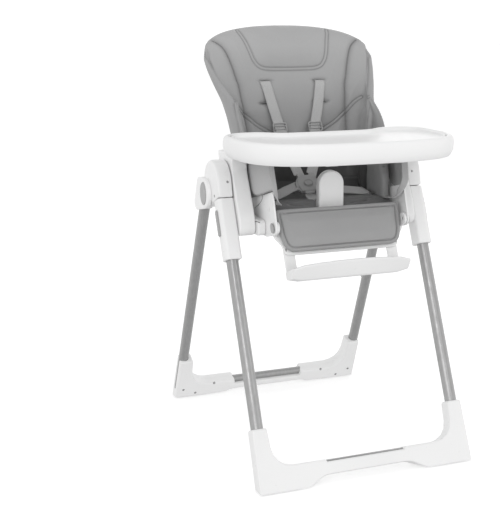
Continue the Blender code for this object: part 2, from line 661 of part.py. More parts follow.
def make_harness(materials):
    """Five-point harness: buckle, its button, waist, crotch and shoulder straps with their adjusters."""
    place = frame_place(BUCKLE_CENTRE, (1, 0, 0), BUCKLE_UP, BUCKLE_OUT)
    shape = fillet([(-0.022, -0.024, 0.006), (0.022, -0.024, 0.006), (0.030, 0.000, 0.008),
                    (0.022, 0.024, 0.006), (-0.022, 0.024, 0.006), (-0.030, 0.000, 0.008)], steps=3)
    buckle = add_object("buckle", prism(shape, place, -0.007, 0.006, 0.002, 0.003), materials["grey"])
    pocket = stretched_circle((0.0, -0.001), 0.0110 + GAP, 0.0080 + GAP, 20)
    cut(buckle, prism(pocket, place, 0.0025, 0.0100))
    button = stretched_circle((0.0, -0.001), 0.0110, 0.0080, 20)
    bm = prism(button, place, 0.0046, 0.0084, 0.0, 0.0012)
    add_object("buckle_button", bm, materials["grey"], place(0.0, -0.001, 0.006))
    route = [place(0.0, -0.0315, -0.001), place(0.003, -0.0385, -0.001), Vector((-0.018, -0.0940, 0.6450))]
    bm = ribbon(route, (0.0, -0.60, 0.80))
    add_object("crotch_strap", bm, materials["strap"])
    for name, side in SIDES.items():
        tip = place(side * 0.0335, -0.004, 0.0)
        bm = ribbon([tip, tip + Vector((side * 0.022, 0.004, -0.010)), Vector((side * 0.118, -0.058, 0.6500)),
                     Vector((side * 0.138, -0.046, 0.6490))], (0.0, -0.55, 0.85))
        add_object(f"waist_strap_{name}", bm, materials["strap"])
        slot_z = 0.9260
        start = Vector((side * 0.080, back_front_y(slot_z) - 0.0050, slot_z))
        end = place(side * 0.0165, 0.0315, 0.0)
        bm = ribbon([start, (side * 0.064, back_front_y(0.86) - 0.0090, 0.860), (side * 0.049, 0.086, 0.800),
                     (side * 0.038 - 0.006, 0.036, 0.744), end], (0.0, -1.0, 0.35))
        add_object(f"shoulder_strap_{name}", bm, materials["strap"])
        slope = Vector((0.0, 0.30, 0.954))
        on_strap = frame_place((side * 0.0505, 0.0890, 0.8060), (1, 0, 0), slope, (0.0, -0.954, 0.30))
        ring = fillet([(-0.018, -0.010, 0.003), (0.018, -0.010, 0.003), (0.018, 0.010, 0.003),
                       (-0.018, 0.010, 0.003)], steps=2)
        bm = prism(ring, on_strap, 0.0038, 0.0070, 0.001, 0.001, steps=1)
        add_object(f"strap_adjuster_{name}", bm, materials["grey"])


# --- backrest ---------------------------------------------------------------------------------------


def back_front_y(z):
    """Middle of the back cushion's front face, which curls back towards its top edge."""
    curl = BACK_CURL * max(0.0, z - BACK_CURL_Z) ** 2
    return BACK_FRONT_Y_AT_83 + (z - 0.83) * BACK_SLOPE + curl


def blend(z, stops):
    """Straight-line value at z between (z, value) stops."""
    if z <= stops[0][0]:
        return stops[0][1]
    for (z0, v0), (z1, v1) in zip(stops, stops[1:]):
        if z <= z1:
            return v0 + (v1 - v0) * (z - z0) / (z1 - z0)
    return stops[-1][1]


def back_section(z):
    """Right half of the back's outer surface at a height, from the middle to the wing's front edge."""
    middle_y = back_front_y(z) + CUSHION_THICKNESS + SHELL_THICKNESS
    width = blend(z, OUTER_WIDTH)
    edge_x = blend(z, EDGE_WIDTH)
    edge_y = blend(z, EDGE_Y)
    depth = middle_y - edge_y
    bends = [Vector((0.0, middle_y)), Vector((width * 0.80, middle_y + 0.004)),
             Vector((width * 1.10, middle_y - 0.30 * depth)), Vector((edge_x, edge_y))]
    points = []
    for k in range(BACK_STEPS + 1):
        t = k / BACK_STEPS
        s = 1.0 - t
        weights = (s ** 3, 3 * s * s * t, 3 * s * t * t, t ** 3)
        points.append(sum((w * bend for w, bend in zip(weights, bends)), Vector((0.0, 0.0))))
    return points


def offset_in(points, distances):
    """Moves a half section towards the child, square to itself."""
    moved = []
    for k, point in enumerate(points):
        before = points[max(k - 1, 0)]
        after = points[min(k + 1, len(points) - 1)]
        along = (after - before).normalized()
        if k == 0:
            along = Vector((1.0, 0.0))
        moved.append(point + Vector((along.y, -along.x)) * distances[k])
    return moved


def back_ring(z, outer, inner, last=BACK_STEPS):
    """A closed C between two depths below the back's outer surface, out to a step of its half section."""
    half = back_section(z)
    steps = range(BACK_STEPS + 1)
    front = offset_in(half, [inner(k) for k in steps])[:last + 1]
    rear = offset_in(half, [outer(k) for k in steps])[:last + 1]
    mirrored = [Vector((-p.x, p.y)) for p in [*front[1:], *rear[:0:-1]]]
    ring = rear + front[::-1] + mirrored
    return [Vector((p.x, p.y, z)) for p in ring]


def make_backrest(materials):
    def cushion_rear(step):
        return SHELL_THICKNESS + 5.0 * GAP if step <= SHELL_STEPS + 1 else 0.0008

    def cushion_front(step, z):
        taper = blend(z, ((0.84, 0.0012), (0.92, 0.0030), (1.03, 0.0038)))
        return CUSHION_THICKNESS + SHELL_THICKNESS - taper * max(0, step - 5)

    def cushion_ring(z, shrink=0.0):
        return back_ring(z, lambda k: cushion_rear(k) + shrink, lambda k: cushion_front(k, z) - shrink)

    middle = [cushion_ring(z) for z in (*SHELL_HEIGHTS, *RIM_HEIGHTS)]
    rings = [cushion_ring(0.638, 0.006), *middle, cushion_ring(BACK_TOP_Z, 0.006)]
    add_object("backrest_cushion", loft(rings), materials["pad"], (0.0, RECLINE_Y, RECLINE_Z))

    def shell_ring(z):
        return back_ring(z, lambda k: 0.0, lambda k: SHELL_THICKNESS, SHELL_STEPS)

    rings = [shell_ring(z) for z in (0.636, *SHELL_HEIGHTS)]
    shell = add_object("backrest_shell", loft(rings), materials["white"], (0.0, RECLINE_Y, RECLINE_Z))
    pivot = (RECLINE_Y, RECLINE_Z)
    ear = hull(circle(pivot, 0.0165, 20) + [Vector((0.0860, 0.6340)), Vector((0.1060, 0.6340))])
    strut = [Vector(p) for p in ((0.0870, 0.6180), (0.1060, 0.6180), (0.1060, 0.6940), (0.0900, 0.6940))]
    for side in SIDES.values():
        join(shell, mirror_x(prism(ear, on_x, 0.1500, 0.1640, 0.001, 0.001, steps=1), side))
        join(shell, mirror_x(prism(strut, on_x, 0.1505, 0.1635), side))
        cut(shell, rod((side * 0.140, *pivot), (side * 0.180, *pivot), SMALL_PIN_RADIUS + GAP, count=16))

    base_y = back_front_y(0.885) + CUSHION_THICKNESS + SHELL_THICKNESS
    lean = (0.0, BACK_SLOPE, 1.0)
    out = (0.0, 1.0, -BACK_SLOPE)
    place = frame_place((0.0, base_y, 0.885), (1, 0, 0), lean, out)
    plate = fillet([(-0.075, -0.045, 0.018), (0.075, -0.045, 0.018), (0.060, 0.045, 0.018),
                    (-0.060, 0.045, 0.018)], steps=3)
    join(shell, prism(plate, place, -0.0030, 0.0130, 0.0, 0.003, steps=2))
    grip = fillet([(-0.045, -0.014, 0.010), (0.045, -0.014, 0.010), (0.045, 0.008, 0.008),
                   (-0.045, 0.008, 0.008)], steps=3)
    bm = prism(grip, place, 0.0130 + GAP, 0.0300, 0.0, 0.004, steps=2)
    add_object("recline_handle", bm, materials["grey"], place(0.0, 0.0, 0.013))


# --- leg rest ---------------------------------------------------------------------------------------


def make_leg_rest(materials):
    pivot = (LEG_REST_Y, LEG_REST_Z)
    origin = (0.0, *pivot)
    board_plane = frame_place(origin, (1, 0, 0), LEG_UP, LEG_AHEAD)
    half = [(0.150, -0.066, 0.014), (0.156, -0.040, 0.040), (0.1735, -0.020, 0.020), (0.1735, 0.014, 0.003),
            (0.160, 0.040, 0.010)]
    shape = fillet(half + [(-x, y, radius) for x, y, radius in half[::-1]], steps=3)
    board = add_object("calf_board", prism(shape, board_plane, -0.0255, -0.0185, 0.001, 0.001, steps=1),
                       materials["white"], origin)
    centre = Vector(pivot)
    up = Vector(LEG_UP[1:])
    ahead = Vector(LEG_AHEAD[1:])
    root = ((0.012, -0.0240), (-0.016, -0.0240), (0.012, -0.0200), (-0.016, -0.0200))
    ear = hull(circle(pivot, 0.0150, 20) + [centre + up * v + ahead * w for v, w in root])
    for name, side in SIDES.items():
        join(board, mirror_x(prism(ear, on_x, 0.1668, 0.1736, 0.001, 0.001, steps=1), side))
        cut(board, rod((side * 0.160, *pivot), (side * 0.180, *pivot), SMALL_PIN_RADIUS + GAP, count=16))
        button = [centre + up * p.y + ahead * p.x for p in stretched_circle((0.0, 0.0), 0.0085, 0.0125, 20)]
        bm = mirror_x(prism(button, on_x, TUB_HALF_WIDTH + LEG_BUTTON_LIFT, TUB_HALF_WIDTH + 0.0060,
                            0.0, 0.0012), side)
        press = add_object(f"leg_rest_button_{name}", bm, materials["grey"], (side * TUB_HALF_WIDTH, *pivot))
        shank_end = side * (TUB_HALF_WIDTH + 0.0040)
        join(press, rod((side * 0.1690, *pivot), (shank_end, *pivot), SMALL_PIN_RADIUS, count=16))
    pad = fillet([(-0.165, 0.0455, 0.006), (-0.160, -0.020, 0.060), (-0.150, -0.0600, 0.030),
                  (0.150, -0.0600, 0.030), (0.160, -0.020, 0.060), (0.165, 0.0455, 0.006)], steps=4)
    bm = prism(pad, board_plane, -0.0180, -0.0045, 0.002, 0.005)
    add_object("leg_rest_pad", bm, materials["pad"], origin)

    rings = []
    count = 13
    for k in range(count):
        x = FOOTREST_HALF_WIDTH * (2.0 * k / (count - 1) - 1.0)
        arch = 0.009 * (1.0 - (x / FOOTREST_HALF_WIDTH) ** 2)
        end = 0.010 if k in (0, count - 1) else 0.0
        section = fillet([(-0.0325 + end / 3, -0.1030 - end / 4, 0.002),
                          (0.0480 - end, -0.1060 + arch - end / 4, 0.004),
                          (0.0060 + end / 3, -0.1355 + end / 2, 0.012),
                          (-0.0325 + end / 3, -0.1300 + end / 2, 0.008)], steps=3)
        rings.append([board_plane(x * (1.0 if end == 0.0 else 1.004), p.y, p.x) for p in section])
    footrest = add_object("footrest", loft(rings), materials["white"], board_plane(0.0, -0.115, -0.026))
    for side in SIDES.values():
        arm = fillet([(0.124, -0.125, 0.0), (0.152, -0.125, 0.0),
                      (0.152, -0.012, 0.008), (0.124, -0.012, 0.008)], 3)
        join(footrest, mirror_x(prism(arm, board_plane, -0.0320, -0.0260, 0.001, 0.001, steps=1), side))


# --- tray -------------------------------------------------------------------------------------------


def tray_outline():
    """Plan view: a broad rounded front and a hollowed rear edge between two rounded tips."""
    points = []
    power = 2.0 / TRAY_POWER
    for k in range(25):
        angle = math.pi * k / 24.0
        c = math.cos(angle)
        x = TRAY_HALF_WIDTH * math.copysign(abs(c) ** power, c)
        y = TRAY_MIDDLE_Y - (TRAY_MIDDLE_Y - TRAY_FRONT_Y) * math.sin(angle) ** power
        points.append(Vector((x, y)))
    tip = TRAY_HALF_WIDTH - 0.004
    half = [(tip, TRAY_REAR_Y, TRAY_TIP_RADIUS), (0.165, TRAY_REAR_Y, 0.070),
            (0.115, TRAY_REAR_MIDDLE_Y, 0.070)]
    rear = [(-x, y, radius) for x, y, radius in half] + half[::-1]
    corners = [(-TRAY_HALF_WIDTH, TRAY_MIDDLE_Y, 0.0), *rear, (TRAY_HALF_WIDTH, TRAY_MIDDLE_Y, 0.0)]
    return points + fillet(corners, steps=3)[1:-1]


def tray_rings(levels):
    outline = tray_outline()
    return [[Vector((p.x, p.y, z)) for p in inset(outline, distance)] for distance, z in levels]


def make_tray(materials):
    floor = TRAY_TOP_Z - 0.0140
    body = [(0.0300, floor - 0.0035), (0.0140, floor - 0.0050), (0.0130, TRAY_BOTTOM_Z), (0.0095, TRAY_BOTTOM_Z),
            (0.0020, TRAY_BOTTOM_Z + 0.0140), (0.0, TRAY_BOTTOM_Z + 0.0310), (0.0020, TRAY_TOP_Z - 0.0060),
            (0.0070, TRAY_TOP_Z - 0.0012), (0.0120, TRAY_TOP_Z), (0.0165, TRAY_TOP_Z - 0.0020),
            (0.0190, TRAY_TOP_Z - 0.0080), (0.0300, floor)]
    tray = add_object("tray", loft(tray_rings(body)), materials["white"])
    insert = [(0.0300, floor + GAP), (0.0210, floor + 0.0060), (0.0200, floor + 0.0120), (0.0220, floor + 0.0130),
              (0.0250, floor + 0.0115), (0.0300, floor + 0.0045), (0.0380, floor + 0.0030)]
    add_object("tray_insert", loft(tray_rings(insert)), materials["white"])
    runner = fillet([(0.206, -0.300, 0.004), (0.232, -0.300, 0.004), (0.232, -0.100, 0.004),
                     (0.206, -0.100, 0.004)], steps=2)
    for name, side in SIDES.items():
        join(tray, mirror_x(prism(runner, on_z, TRAY_BOTTOM_Z, floor - 0.0040, 0.001, 0.0, steps=1), side))
        x = side * 0.088
        lever = fillet([(x - 0.018, -0.352, 0.006), (x + 0.018, -0.352, 0.006), (x + 0.018, -0.330, 0.006),
                        (x - 0.018, -0.330, 0.006)], steps=3)
        bm = prism(lever, on_z, TRAY_BOTTOM_Z - 0.0040, floor - 0.0060, 0.002)
        add_object(f"tray_release_{name}", bm, materials["white"], (x, -0.330, floor - 0.006))


def main():
    clear_scene()
    materials = {
        "white": make_material("white_plastic", WHITE, 0.35),
        "tube": make_material("grey_tube", GREY_TUBE, 0.38, 0.6),
        "grey": make_material("grey_plastic", GREY_PLASTIC, 0.45),
        "pad": make_material("grey_pad", GREY_PAD, 0.6),
        "strap": make_material("grey_webbing", STRAP_GREY, 0.85),
        "rubber": make_material("dark_rubber", DARK_RUBBER, 0.85),
        "steel": make_material("zinc_steel", STEEL, 0.35, 1.0),
    }
    make_base("front", FRONT_FOOT_Y, FRONT_TILT, LEG_RADIUS, front_leg_point, materials)
    make_base("rear", REAR_FOOT_Y, REAR_TILT, REAR_LEG_RADIUS, rear_leg_point, materials)
    make_legs(materials)
    make_tray_hooks(materials)
    make_hubs(materials)
    make_sleeves(materials)
    make_arms(materials)
    make_tub(materials)
    make_post(materials)
    make_seat_cushion(materials)
    make_harness(materials)
    make_backrest(materials)
    make_leg_rest(materials)
    make_tray(materials)


main()
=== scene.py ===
"""Looks of the folding baby high chair: padded cover, harness webbing, stitching and finishes on the CAD frame."""

import json
import math
from functools import cache

import bmesh
import bpy
import numpy as np
from mathutils import Matrix, Vector, noise
from mathutils.bvhtree import BVHTree
from mathutils.kdtree import KDTree


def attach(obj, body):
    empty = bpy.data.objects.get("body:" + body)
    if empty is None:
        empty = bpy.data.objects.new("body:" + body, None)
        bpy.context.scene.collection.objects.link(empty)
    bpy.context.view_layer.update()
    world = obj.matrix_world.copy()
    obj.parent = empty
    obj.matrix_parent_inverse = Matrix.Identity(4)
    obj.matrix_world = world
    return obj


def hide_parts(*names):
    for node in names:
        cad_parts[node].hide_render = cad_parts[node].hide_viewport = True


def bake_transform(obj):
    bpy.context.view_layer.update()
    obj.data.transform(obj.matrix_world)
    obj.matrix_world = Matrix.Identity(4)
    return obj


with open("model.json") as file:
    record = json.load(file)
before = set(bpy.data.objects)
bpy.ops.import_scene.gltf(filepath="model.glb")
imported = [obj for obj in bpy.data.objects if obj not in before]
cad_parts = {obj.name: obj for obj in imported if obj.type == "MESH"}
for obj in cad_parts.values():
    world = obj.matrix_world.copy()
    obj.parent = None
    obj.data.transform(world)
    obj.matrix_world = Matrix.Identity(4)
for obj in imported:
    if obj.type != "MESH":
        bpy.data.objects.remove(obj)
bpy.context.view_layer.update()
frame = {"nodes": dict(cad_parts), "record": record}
NODES = frame["nodes"]
SIDES = {"left": -1.0, "right": 1.0}

# Back pad, as the CAD pad has it: (height, half width or y) of its outer surface and its wings' edges.
BACK_SLOPE = 0.195
BACK_DEPTH = 0.032
SHELL_DEPTH = 0.0075
DOME_Z = 0.985
DOME_HALF_WIDTH = 0.2385
DOME_HEIGHT = 0.0775
DOME_POWER = 0.833
DOME_EDGE_Y = 0.1335
DOME_LEAN = 0.0891
PAD_BOTTOM_Z = 0.640
OUTER_WIDTH = ((0.63, 0.186), (0.76, 0.192), (0.80, 0.203), (0.86, 0.216), (0.92, 0.229), (0.98, 0.2385))
EDGE_WIDTH = ((0.63, 0.178), (0.80, 0.188), (0.88, 0.199), (0.92, 0.218), (0.96, 0.232), (0.99, 0.237))
EDGE_Y = ((0.63, 0.012), (0.70, 0.003), (0.80, 0.002), (0.84, 0.006), (0.88, 0.034), (0.94, 0.094), (0.99, 0.136))

STRAP_WIDTH = 0.0280
STRAP_THICKNESS = 0.0016
STRAP_COLUMNS = 6
BUCKLE_CENTRE = Vector((-0.0300, -0.0560, 0.6760))
BUCKLE_TILT = math.radians(38.0)


# --- materials ---

class Nodes:
    """Short calls for adding and linking nodes in a tree."""

    def __init__(self, tree):
        self.tree = tree

    def node(self, kind, inputs=(), **fields):
        made = self.tree.nodes.new(kind)
        for field, value in fields.items():
            setattr(made, field, value)
        for socket, value in dict(inputs).items():
            if isinstance(value, bpy.types.NodeSocket):
                self.tree.links.new(value, made.inputs[socket])
            else:
                made.inputs[socket].default_value = value
        return made


class Shader(Nodes):
    """A Principled material."""

    def __init__(self, name, roughness, metallic=0.0, **sockets):
        self.material = bpy.data.materials.new(name)
        self.material.use_nodes = True
        super().__init__(self.material.node_tree)
        self.bsdf = self.tree.nodes["Principled BSDF"]
        self.bsdf.inputs["Roughness"].default_value = roughness
        self.bsdf.inputs["Metallic"].default_value = metallic
        for socket, value in sockets.items():
            self.bsdf.inputs[socket.replace("_", " ")].default_value = value
        self.place = self.node("ShaderNodeTexCoord").outputs["Object"]

    def noise(self, scale, detail=3.0, stretch=None):
        place = self.place
        if stretch:
            place = self.node("ShaderNodeMapping", {"Vector": place, "Scale": stretch}).outputs["Vector"]
        return self.node("ShaderNodeTexNoise", {"Vector": place, "Scale": scale, "Detail": detail}).outputs["Fac"]

    def math(self, operation, a, b=0.0):
        return self.node("ShaderNodeMath", {0: a, 1: b}, operation=operation).outputs[0]

    def between(self, factor, low=0.0, high=1.0, from_low=0.3, from_high=0.7):
        made = self.node("ShaderNodeMapRange", {"Value": factor, "From Min": from_low, "From Max": from_high,
                                                "To Min": low, "To Max": high})
        return made.outputs["Result"]

    def mix(self, factor, a, b):
        return self.node("ShaderNodeMix", {0: factor, 6: a, 7: b}, data_type="RGBA").outputs[2]

    def mottled(self, factor, a, b):
        """Two greys in patches."""
        return self.mix(self.between(factor), grey(a), grey(b))

    def colour(self, socket):
        self.tree.links.new(socket, self.bsdf.inputs["Base Color"])

    def rough(self, socket):
        self.tree.links.new(socket, self.bsdf.inputs["Roughness"])

    def bump(self, layers):
        """Stacks (height, distance, strength) layers."""
        normal = None
        for height, distance, strength in layers:
            inputs = {"Height": height, "Distance": distance, "Strength": strength}
            if normal is not None:
                inputs["Normal"] = normal
            normal = self.node("ShaderNodeBump", inputs).outputs["Normal"]
        self.tree.links.new(normal, self.bsdf.inputs["Normal"])


def grey(value, tint=0.0):
    """A grey, or a little bluer with a tint."""
    return (value, value, value * (1.0 + tint), 1.0)


def plastic(name, value, roughness, grain=0.10, gloss=0.45):
    """Moulded plastic: faint flow marks, fine spark grain, scuffed and duller in patches."""
    s = Shader(name, roughness, Specular_IOR_Level=gloss)
    flow = s.noise(5.0, 4.0)
    scuff = s.noise(70.0, 6.0)
    s.colour(s.mottled(flow, value, value * 0.965))
    s.rough(s.between(scuff, roughness - 0.05, roughness + 0.10))
    s.bump([(s.noise(900.0, 1.0), 0.00004, grain), (s.noise(26.0, 2.0), 0.0003, 0.08)])
    return s.material


def tube_paint(name):
    """Satin grey paint on steel, drawn along the tube."""
    s = Shader(name, 0.34, 0.55, Coat_Weight=0.15, Coat_Roughness=0.25)
    streaks = s.noise(160.0, 4.0, stretch=(1.0, 1.0, 0.06))
    fleck = s.noise(2600.0, 2.0)
    base = s.mottled(streaks, 0.37, 0.32)
    s.colour(s.mix(s.between(fleck, 0.0, 0.25, 0.55, 0.75), base, grey(0.50)))
    s.rough(s.between(s.noise(45.0, 5.0), 0.28, 0.44))
    s.bump([(fleck, 0.00005, 0.25), (streaks, 0.0001, 0.12)])
    return s.material


def leather(name, value, seam=False, painted_shade_heights=None):
    """Leatherette: pebbled grain with darker valleys, a soft sheen, and darker seam lines that carry painted shade
    beside some seams; with heights given, painted shade by height too.
    """
    s = Shader(name, 0.50, 0.0, Sheen_Weight=0.12, Sheen_Roughness=0.45, Specular_IOR_Level=0.38)
    swirl = s.node("ShaderNodeTexNoise", {"Vector": s.place, "Scale": 90.0}).outputs["Color"]
    warp = s.node("ShaderNodeMix", {0: 0.02, 4: s.place, 5: swirl}, data_type="VECTOR").outputs[1]
    cells = s.node("ShaderNodeTexVoronoi", {"Vector": warp, "Scale": 620.0}, feature="DISTANCE_TO_EDGE")
    pebble = cells.outputs[0]
    valley = s.between(pebble, 1.0, 0.0, 0.0, 0.16)
    cloud = s.noise(7.0, 3.0)
    base = s.mix(s.between(cloud), grey(value, 0.005), grey(value * 0.93, 0.005))
    tone = s.mix(s.math("MULTIPLY", valley, 0.22), base, grey(value * 0.62))
    # Painted shade by height: darker lower down and lighter towards the top as if lit from above, then much darker
    # below the given heights, where the tray's shadow falls.
    if painted_shade_heights:
        height = s.node("ShaderNodeSeparateXYZ", {0: s.place}).outputs[2]
        tone = s.mix(s.between(height, 0.35, 0.0, 0.84, 1.02), tone, grey(value * 0.35))
        tone = s.mix(s.between(height, 1.0, 0.0, *painted_shade_heights), tone, grey(value * 0.22))
    # The seam attribute holds dark seam lines and, on the back pad, painted shade in the creases and slot
    # openings.
    if seam:
        line = s.node("ShaderNodeAttribute", attribute_name="seam").outputs["Fac"]
        tone = s.mix(s.math("MULTIPLY", line, 0.72), tone, grey(value * 0.22))
    s.colour(tone)
    s.rough(s.between(s.noise(30.0, 4.0), 0.44, 0.60))
    s.bump([(s.math("MINIMUM", pebble, 0.16), 0.0006, 0.35), (s.noise(2400.0, 2.0), 0.00006, 0.2)])
    return s.material


def webbing(name, value):
    """Woven strap: ribs across and along its UV, which is in metres, with tighter edges."""
    s = Shader(name, 0.78, 0.0, Sheen_Weight=0.25, Sheen_Roughness=0.5, Specular_IOR_Level=0.25)
    uv = s.node("ShaderNodeUVMap", uv_map="strap").outputs["UV"]
    split = s.node("ShaderNodeSeparateXYZ", {0: uv})
    across, along = split.outputs[0], split.outputs[1]
    diagonal = s.math("SINE", s.math("MULTIPLY", s.math("ADD", along, across), math.tau / 0.0022))
    rib = s.math("SINE", s.math("MULTIPLY", along, math.tau / 0.0011))
    yarn = s.math("SINE", s.math("MULTIPLY", across, math.tau / 0.0016))
    weave = s.math("ADD", s.math("MULTIPLY", rib, yarn), s.math("MULTIPLY", diagonal, 0.6))
    shade = s.between(weave, 0.0, 1.0, -1.4, 1.4)
    edge = s.between(s.math("ABSOLUTE", across), 0.0, 1.0, STRAP_WIDTH * 0.43, STRAP_WIDTH * 0.46)
    base = s.mix(shade, grey(value * 0.70), grey(value * 1.08))
    s.colour(s.mix(s.math("MULTIPLY", edge, 0.3), base, grey(value * 0.55)))
    s.bump([(shade, 0.0004, 0.6), (s.noise(3000.0, 2.0), 0.0001, 0.3)])
    return s.material


def rubber(name):
    """Matt dark rubber."""
    s = Shader(name, 0.8)
    s.colour(s.mottled(s.noise(60.0, 5.0), 0.055, 0.09))
    s.bump([(s.noise(900.0, 3.0), 0.0003, 0.5)])
    return s.material


def steel(name):
    """Turned and zinc plated."""
    s = Shader(name, 0.3, 1.0)
    turned = s.noise(300.0, 4.0, stretch=(0.1, 1.0, 1.0))
    s.colour(s.mottled(turned, 0.58, 0.50))
    s.rough(s.between(turned, 0.24, 0.40))
    s.bump([(turned, 0.00005, 0.3)])
    return s.material


def thread(name, value):
    """Twisted sewing thread."""
    s = Shader(name, 0.7, 0.0, Sheen_Weight=0.3)
    twist = s.noise(2600.0, 2.0)
    s.colour(s.mottled(twist, value, value * 0.7))
    s.bump([(twist, 0.0002, 0.4)])
    return s.material


WHITE = plastic("white_plastic", 0.80, 0.32, gloss=0.38)
OPAL = plastic("opal_plastic", 0.81, 0.38, 0.04, gloss=0.16)
GREY = plastic("grey_plastic", 0.36, 0.42, 0.25)
DARK_GREY = plastic("buckle_plastic", 0.34, 0.42, 0.2)
TUBE = tube_paint("satin_grey_tube")
# The back pad's leatherette carries painted shade by height, and painted shade along its creases and slots.
PAD = leather("grey_leatherette", 0.385, seam=True, painted_shade_heights=(0.735, 0.790))
LEG_PAD = leather("flat_leatherette", 0.335, seam=True)
BINDING = leather("leatherette_binding", 0.31)
# A lighter copy of the leatherette for the side flaps and edge strips: painted light against the tray's shadow.
EDGE_BAND_PAINTED_LIGHT = leather("leatherette_edge_painted_light", 0.44)
# A near-black copy of the leatherette: painted shade under the tray.
INNER_PAD_PAINTED_SHADE = leather("leatherette_inner_painted_shade", 0.085)
# Darker copies of the same leatherette for the seat and side cushions: painted shade under the tray.
SEAT_PAD_PAINTED_SHADE = leather("leatherette_seat_painted_shade", 0.15, seam=True)
SIDE_PAD_PAINTED_SHADE = leather("leatherette_side_painted_shade", 0.27, seam=True)
WEBBING = webbing("grey_webbing", 0.47)
RUBBER = rubber("dark_rubber")
STEEL = steel("zinc_steel")
THREAD = thread("grey_thread", 0.34)

CAD_MATERIALS = {
    "white_plastic": WHITE,
    "grey_tube": TUBE,
    "grey_plastic": GREY,
    "dark_rubber": RUBBER,
    "zinc_steel": STEEL,
}


def finish_cad_nodes():
    """Gives every hard CAD node its finish, small rounded edges and smooth shading."""
    slots = {entry["node"]: entry["material_slot"] for entry in frame["record"]["subparts"]}
    for name, item in NODES.items():
        slot_name = slots[name]
        if slot_name not in CAD_MATERIALS:
            continue
        chosen = CAD_MATERIALS[slot_name]
        if name in ("buckle", "buckle_button"):
            chosen = DARK_GREY
        item.data.materials.clear()
        item.data.materials.append(chosen)
        soften(item, 0.0009 if slot_name == "white_plastic" else 0.0005)


def clear_custom_normals(mesh):
    normals = mesh.attributes.get("custom_normal")
    if normals is not None:
        mesh.attributes.remove(normals)


def linked(name, data):
    item = bpy.data.objects.new(name, data)
    bpy.context.scene.collection.objects.link(item)
    return item


def modify(item, kind, name, **fields):
    modifier = item.modifiers.new(name, kind)
    for field, value in fields.items():
        setattr(modifier, field, value)
    return modifier


def soften(item, width):
    """Bevels a CAD mesh's sharp edges by a width and shades it smooth."""
    clear_custom_normals(item.data)
    item.data.shade_smooth()
    modify(item, "WELD", "weld", merge_threshold=0.00002)
    modify(item, "BEVEL", "edge", width=width, segments=2, limit_method="ANGLE", angle_limit=math.radians(38.0),
           use_clamp_overlap=True)
    modify(item, "WEIGHTED_NORMAL", "normals", keep_sharp=False)


# --- mesh helpers ---

def new_piece(name, bm, material, body):
    """Links a finished bmesh as a piece that rides on a CAD body."""
    bmesh.ops.recalc_face_normals(bm, faces=bm.faces)
    mesh = bpy.data.meshes.new(name)
    bm.to_mesh(mesh)
    bm.free()
    mesh.materials.append(material)
    mesh.shade_smooth()
    item = linked(name, mesh)
    if body:
        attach(item, body)
    return item


def mirrored(line, side):
    return [(side * x, y, z) for x, y, z in line]


def resampled(points, spacing=0.0, count=0, closed=False):
    """A line's points spread evenly, by spacing or count; a closed line doesn't repeat its first point."""
    line = [*points, points[0]] if closed else points
    lengths = np.cumsum([0.0] + [(q - p).length for p, q in zip(line, line[1:])])
    count = count or max(2, round(lengths[-1] / spacing) + (not closed))
    where = np.linspace(0.0, lengths[-1], count, endpoint=not closed)
    return [Vector(p) for p in zip(*(np.interp(where, lengths, values) for values in zip(*line)))]


def route(points, spacing=0.004):
    """A Catmull-Rom curve through the points, resampled to an even spacing."""
    points = [Vector(p) for p in points]
    padded = [2 * points[0] - points[1], *points, 2 * points[-1] - points[-2]]
    fine = []
    for a, b, c, d in zip(padded, padded[1:], padded[2:], padded[3:]):
        for k in range(24):
            t = k / 24
            bend = (2 * a - 5 * b + 4 * c - d) * t * t + (3 * b - a - 3 * c + d) * t ** 3
            fine.append(0.5 * (2 * b + (c - a) * t + bend))
    return resampled([*fine, points[-1]], spacing)


def heading(points, k):
    """The direction of a line at its point k."""
    return (points[min(k + 1, len(points) - 1)] - points[max(k - 1, 0)]).normalized()


def join_rings(bm, rings):
    """Joins closed rings of vertices into a skin, and returns the two faces that cap it."""
    count = len(rings[0])
    for low, high in zip(rings, rings[1:]):
        for k in range(count):
            n = (k + 1) % count
            bm.faces.new((low[k], low[n], high[n], high[k]))
    return [bm.faces.new(rings[0][::-1]), bm.faces.new(rings[-1])]


def add_tube(bm, points, radius, sides=8, up=(0.0, 0.0, 1.0)):
    """Adds a round cord along points to a bmesh."""
    rings = []
    for k, here in enumerate(points):
        along = heading(points, k)
        across = along.cross(Vector(up))
        if across.length < 1e-4:
            across = along.cross(Vector((1.0, 0.0, 0.0)))
        across.normalize()
        lift = across.cross(along)
        turns = [math.tau * n / sides for n in range(sides)]
        rings.append([bm.verts.new(here + (across * math.cos(a) + lift * math.sin(a)) * radius) for a in turns])
    join_rings(bm, rings)


def strap(name, points, facing, body, width=STRAP_WIDTH, material=WEBBING):
    """A flat strap with rounded edges along a route, its UV in metres; facing is one direction, or one per end."""
    points = route(points)
    start, end = (facing, facing) if isinstance(facing[0], float) else facing
    half, skin, bulge = width / 2.0, STRAP_THICKNESS / 2.0, STRAP_THICKNESS * 0.35
    flat = [-half + width * k / STRAP_COLUMNS for k in range(STRAP_COLUMNS + 1)]
    section = [*((u, -skin) for u in flat), (half + bulge, 0.0), *((-u, skin) for u in flat), (-half - bulge, 0.0)]
    bm = bmesh.new()
    layer = bm.loops.layers.uv.new("strap")
    rings, places, travelled = [], {}, 0.0
    for k, here in enumerate(points):
        share = k / (len(points) - 1)
        outwards = Vector(start).lerp(Vector(end), share * share * (3 - 2 * share))
        if k:
            travelled += (here - points[k - 1]).length
        along = heading(points, k)
        across = along.cross(outwards).normalized()
        out = across.cross(along).normalized()
        rings.append([bm.verts.new(here + across * u + out * w) for u, w in section])
        places.update({v: (u, travelled) for v, (u, _) in zip(rings[-1], section)})
    marks_and_ridge_shade = join_rings(bm, rings)
    for face in bm.faces:
        if face not in marks_and_ridge_shade:
            for loop in face.loops:
                loop[layer].uv = places[loop.vert]
    return new_piece(name, bm, material, body)


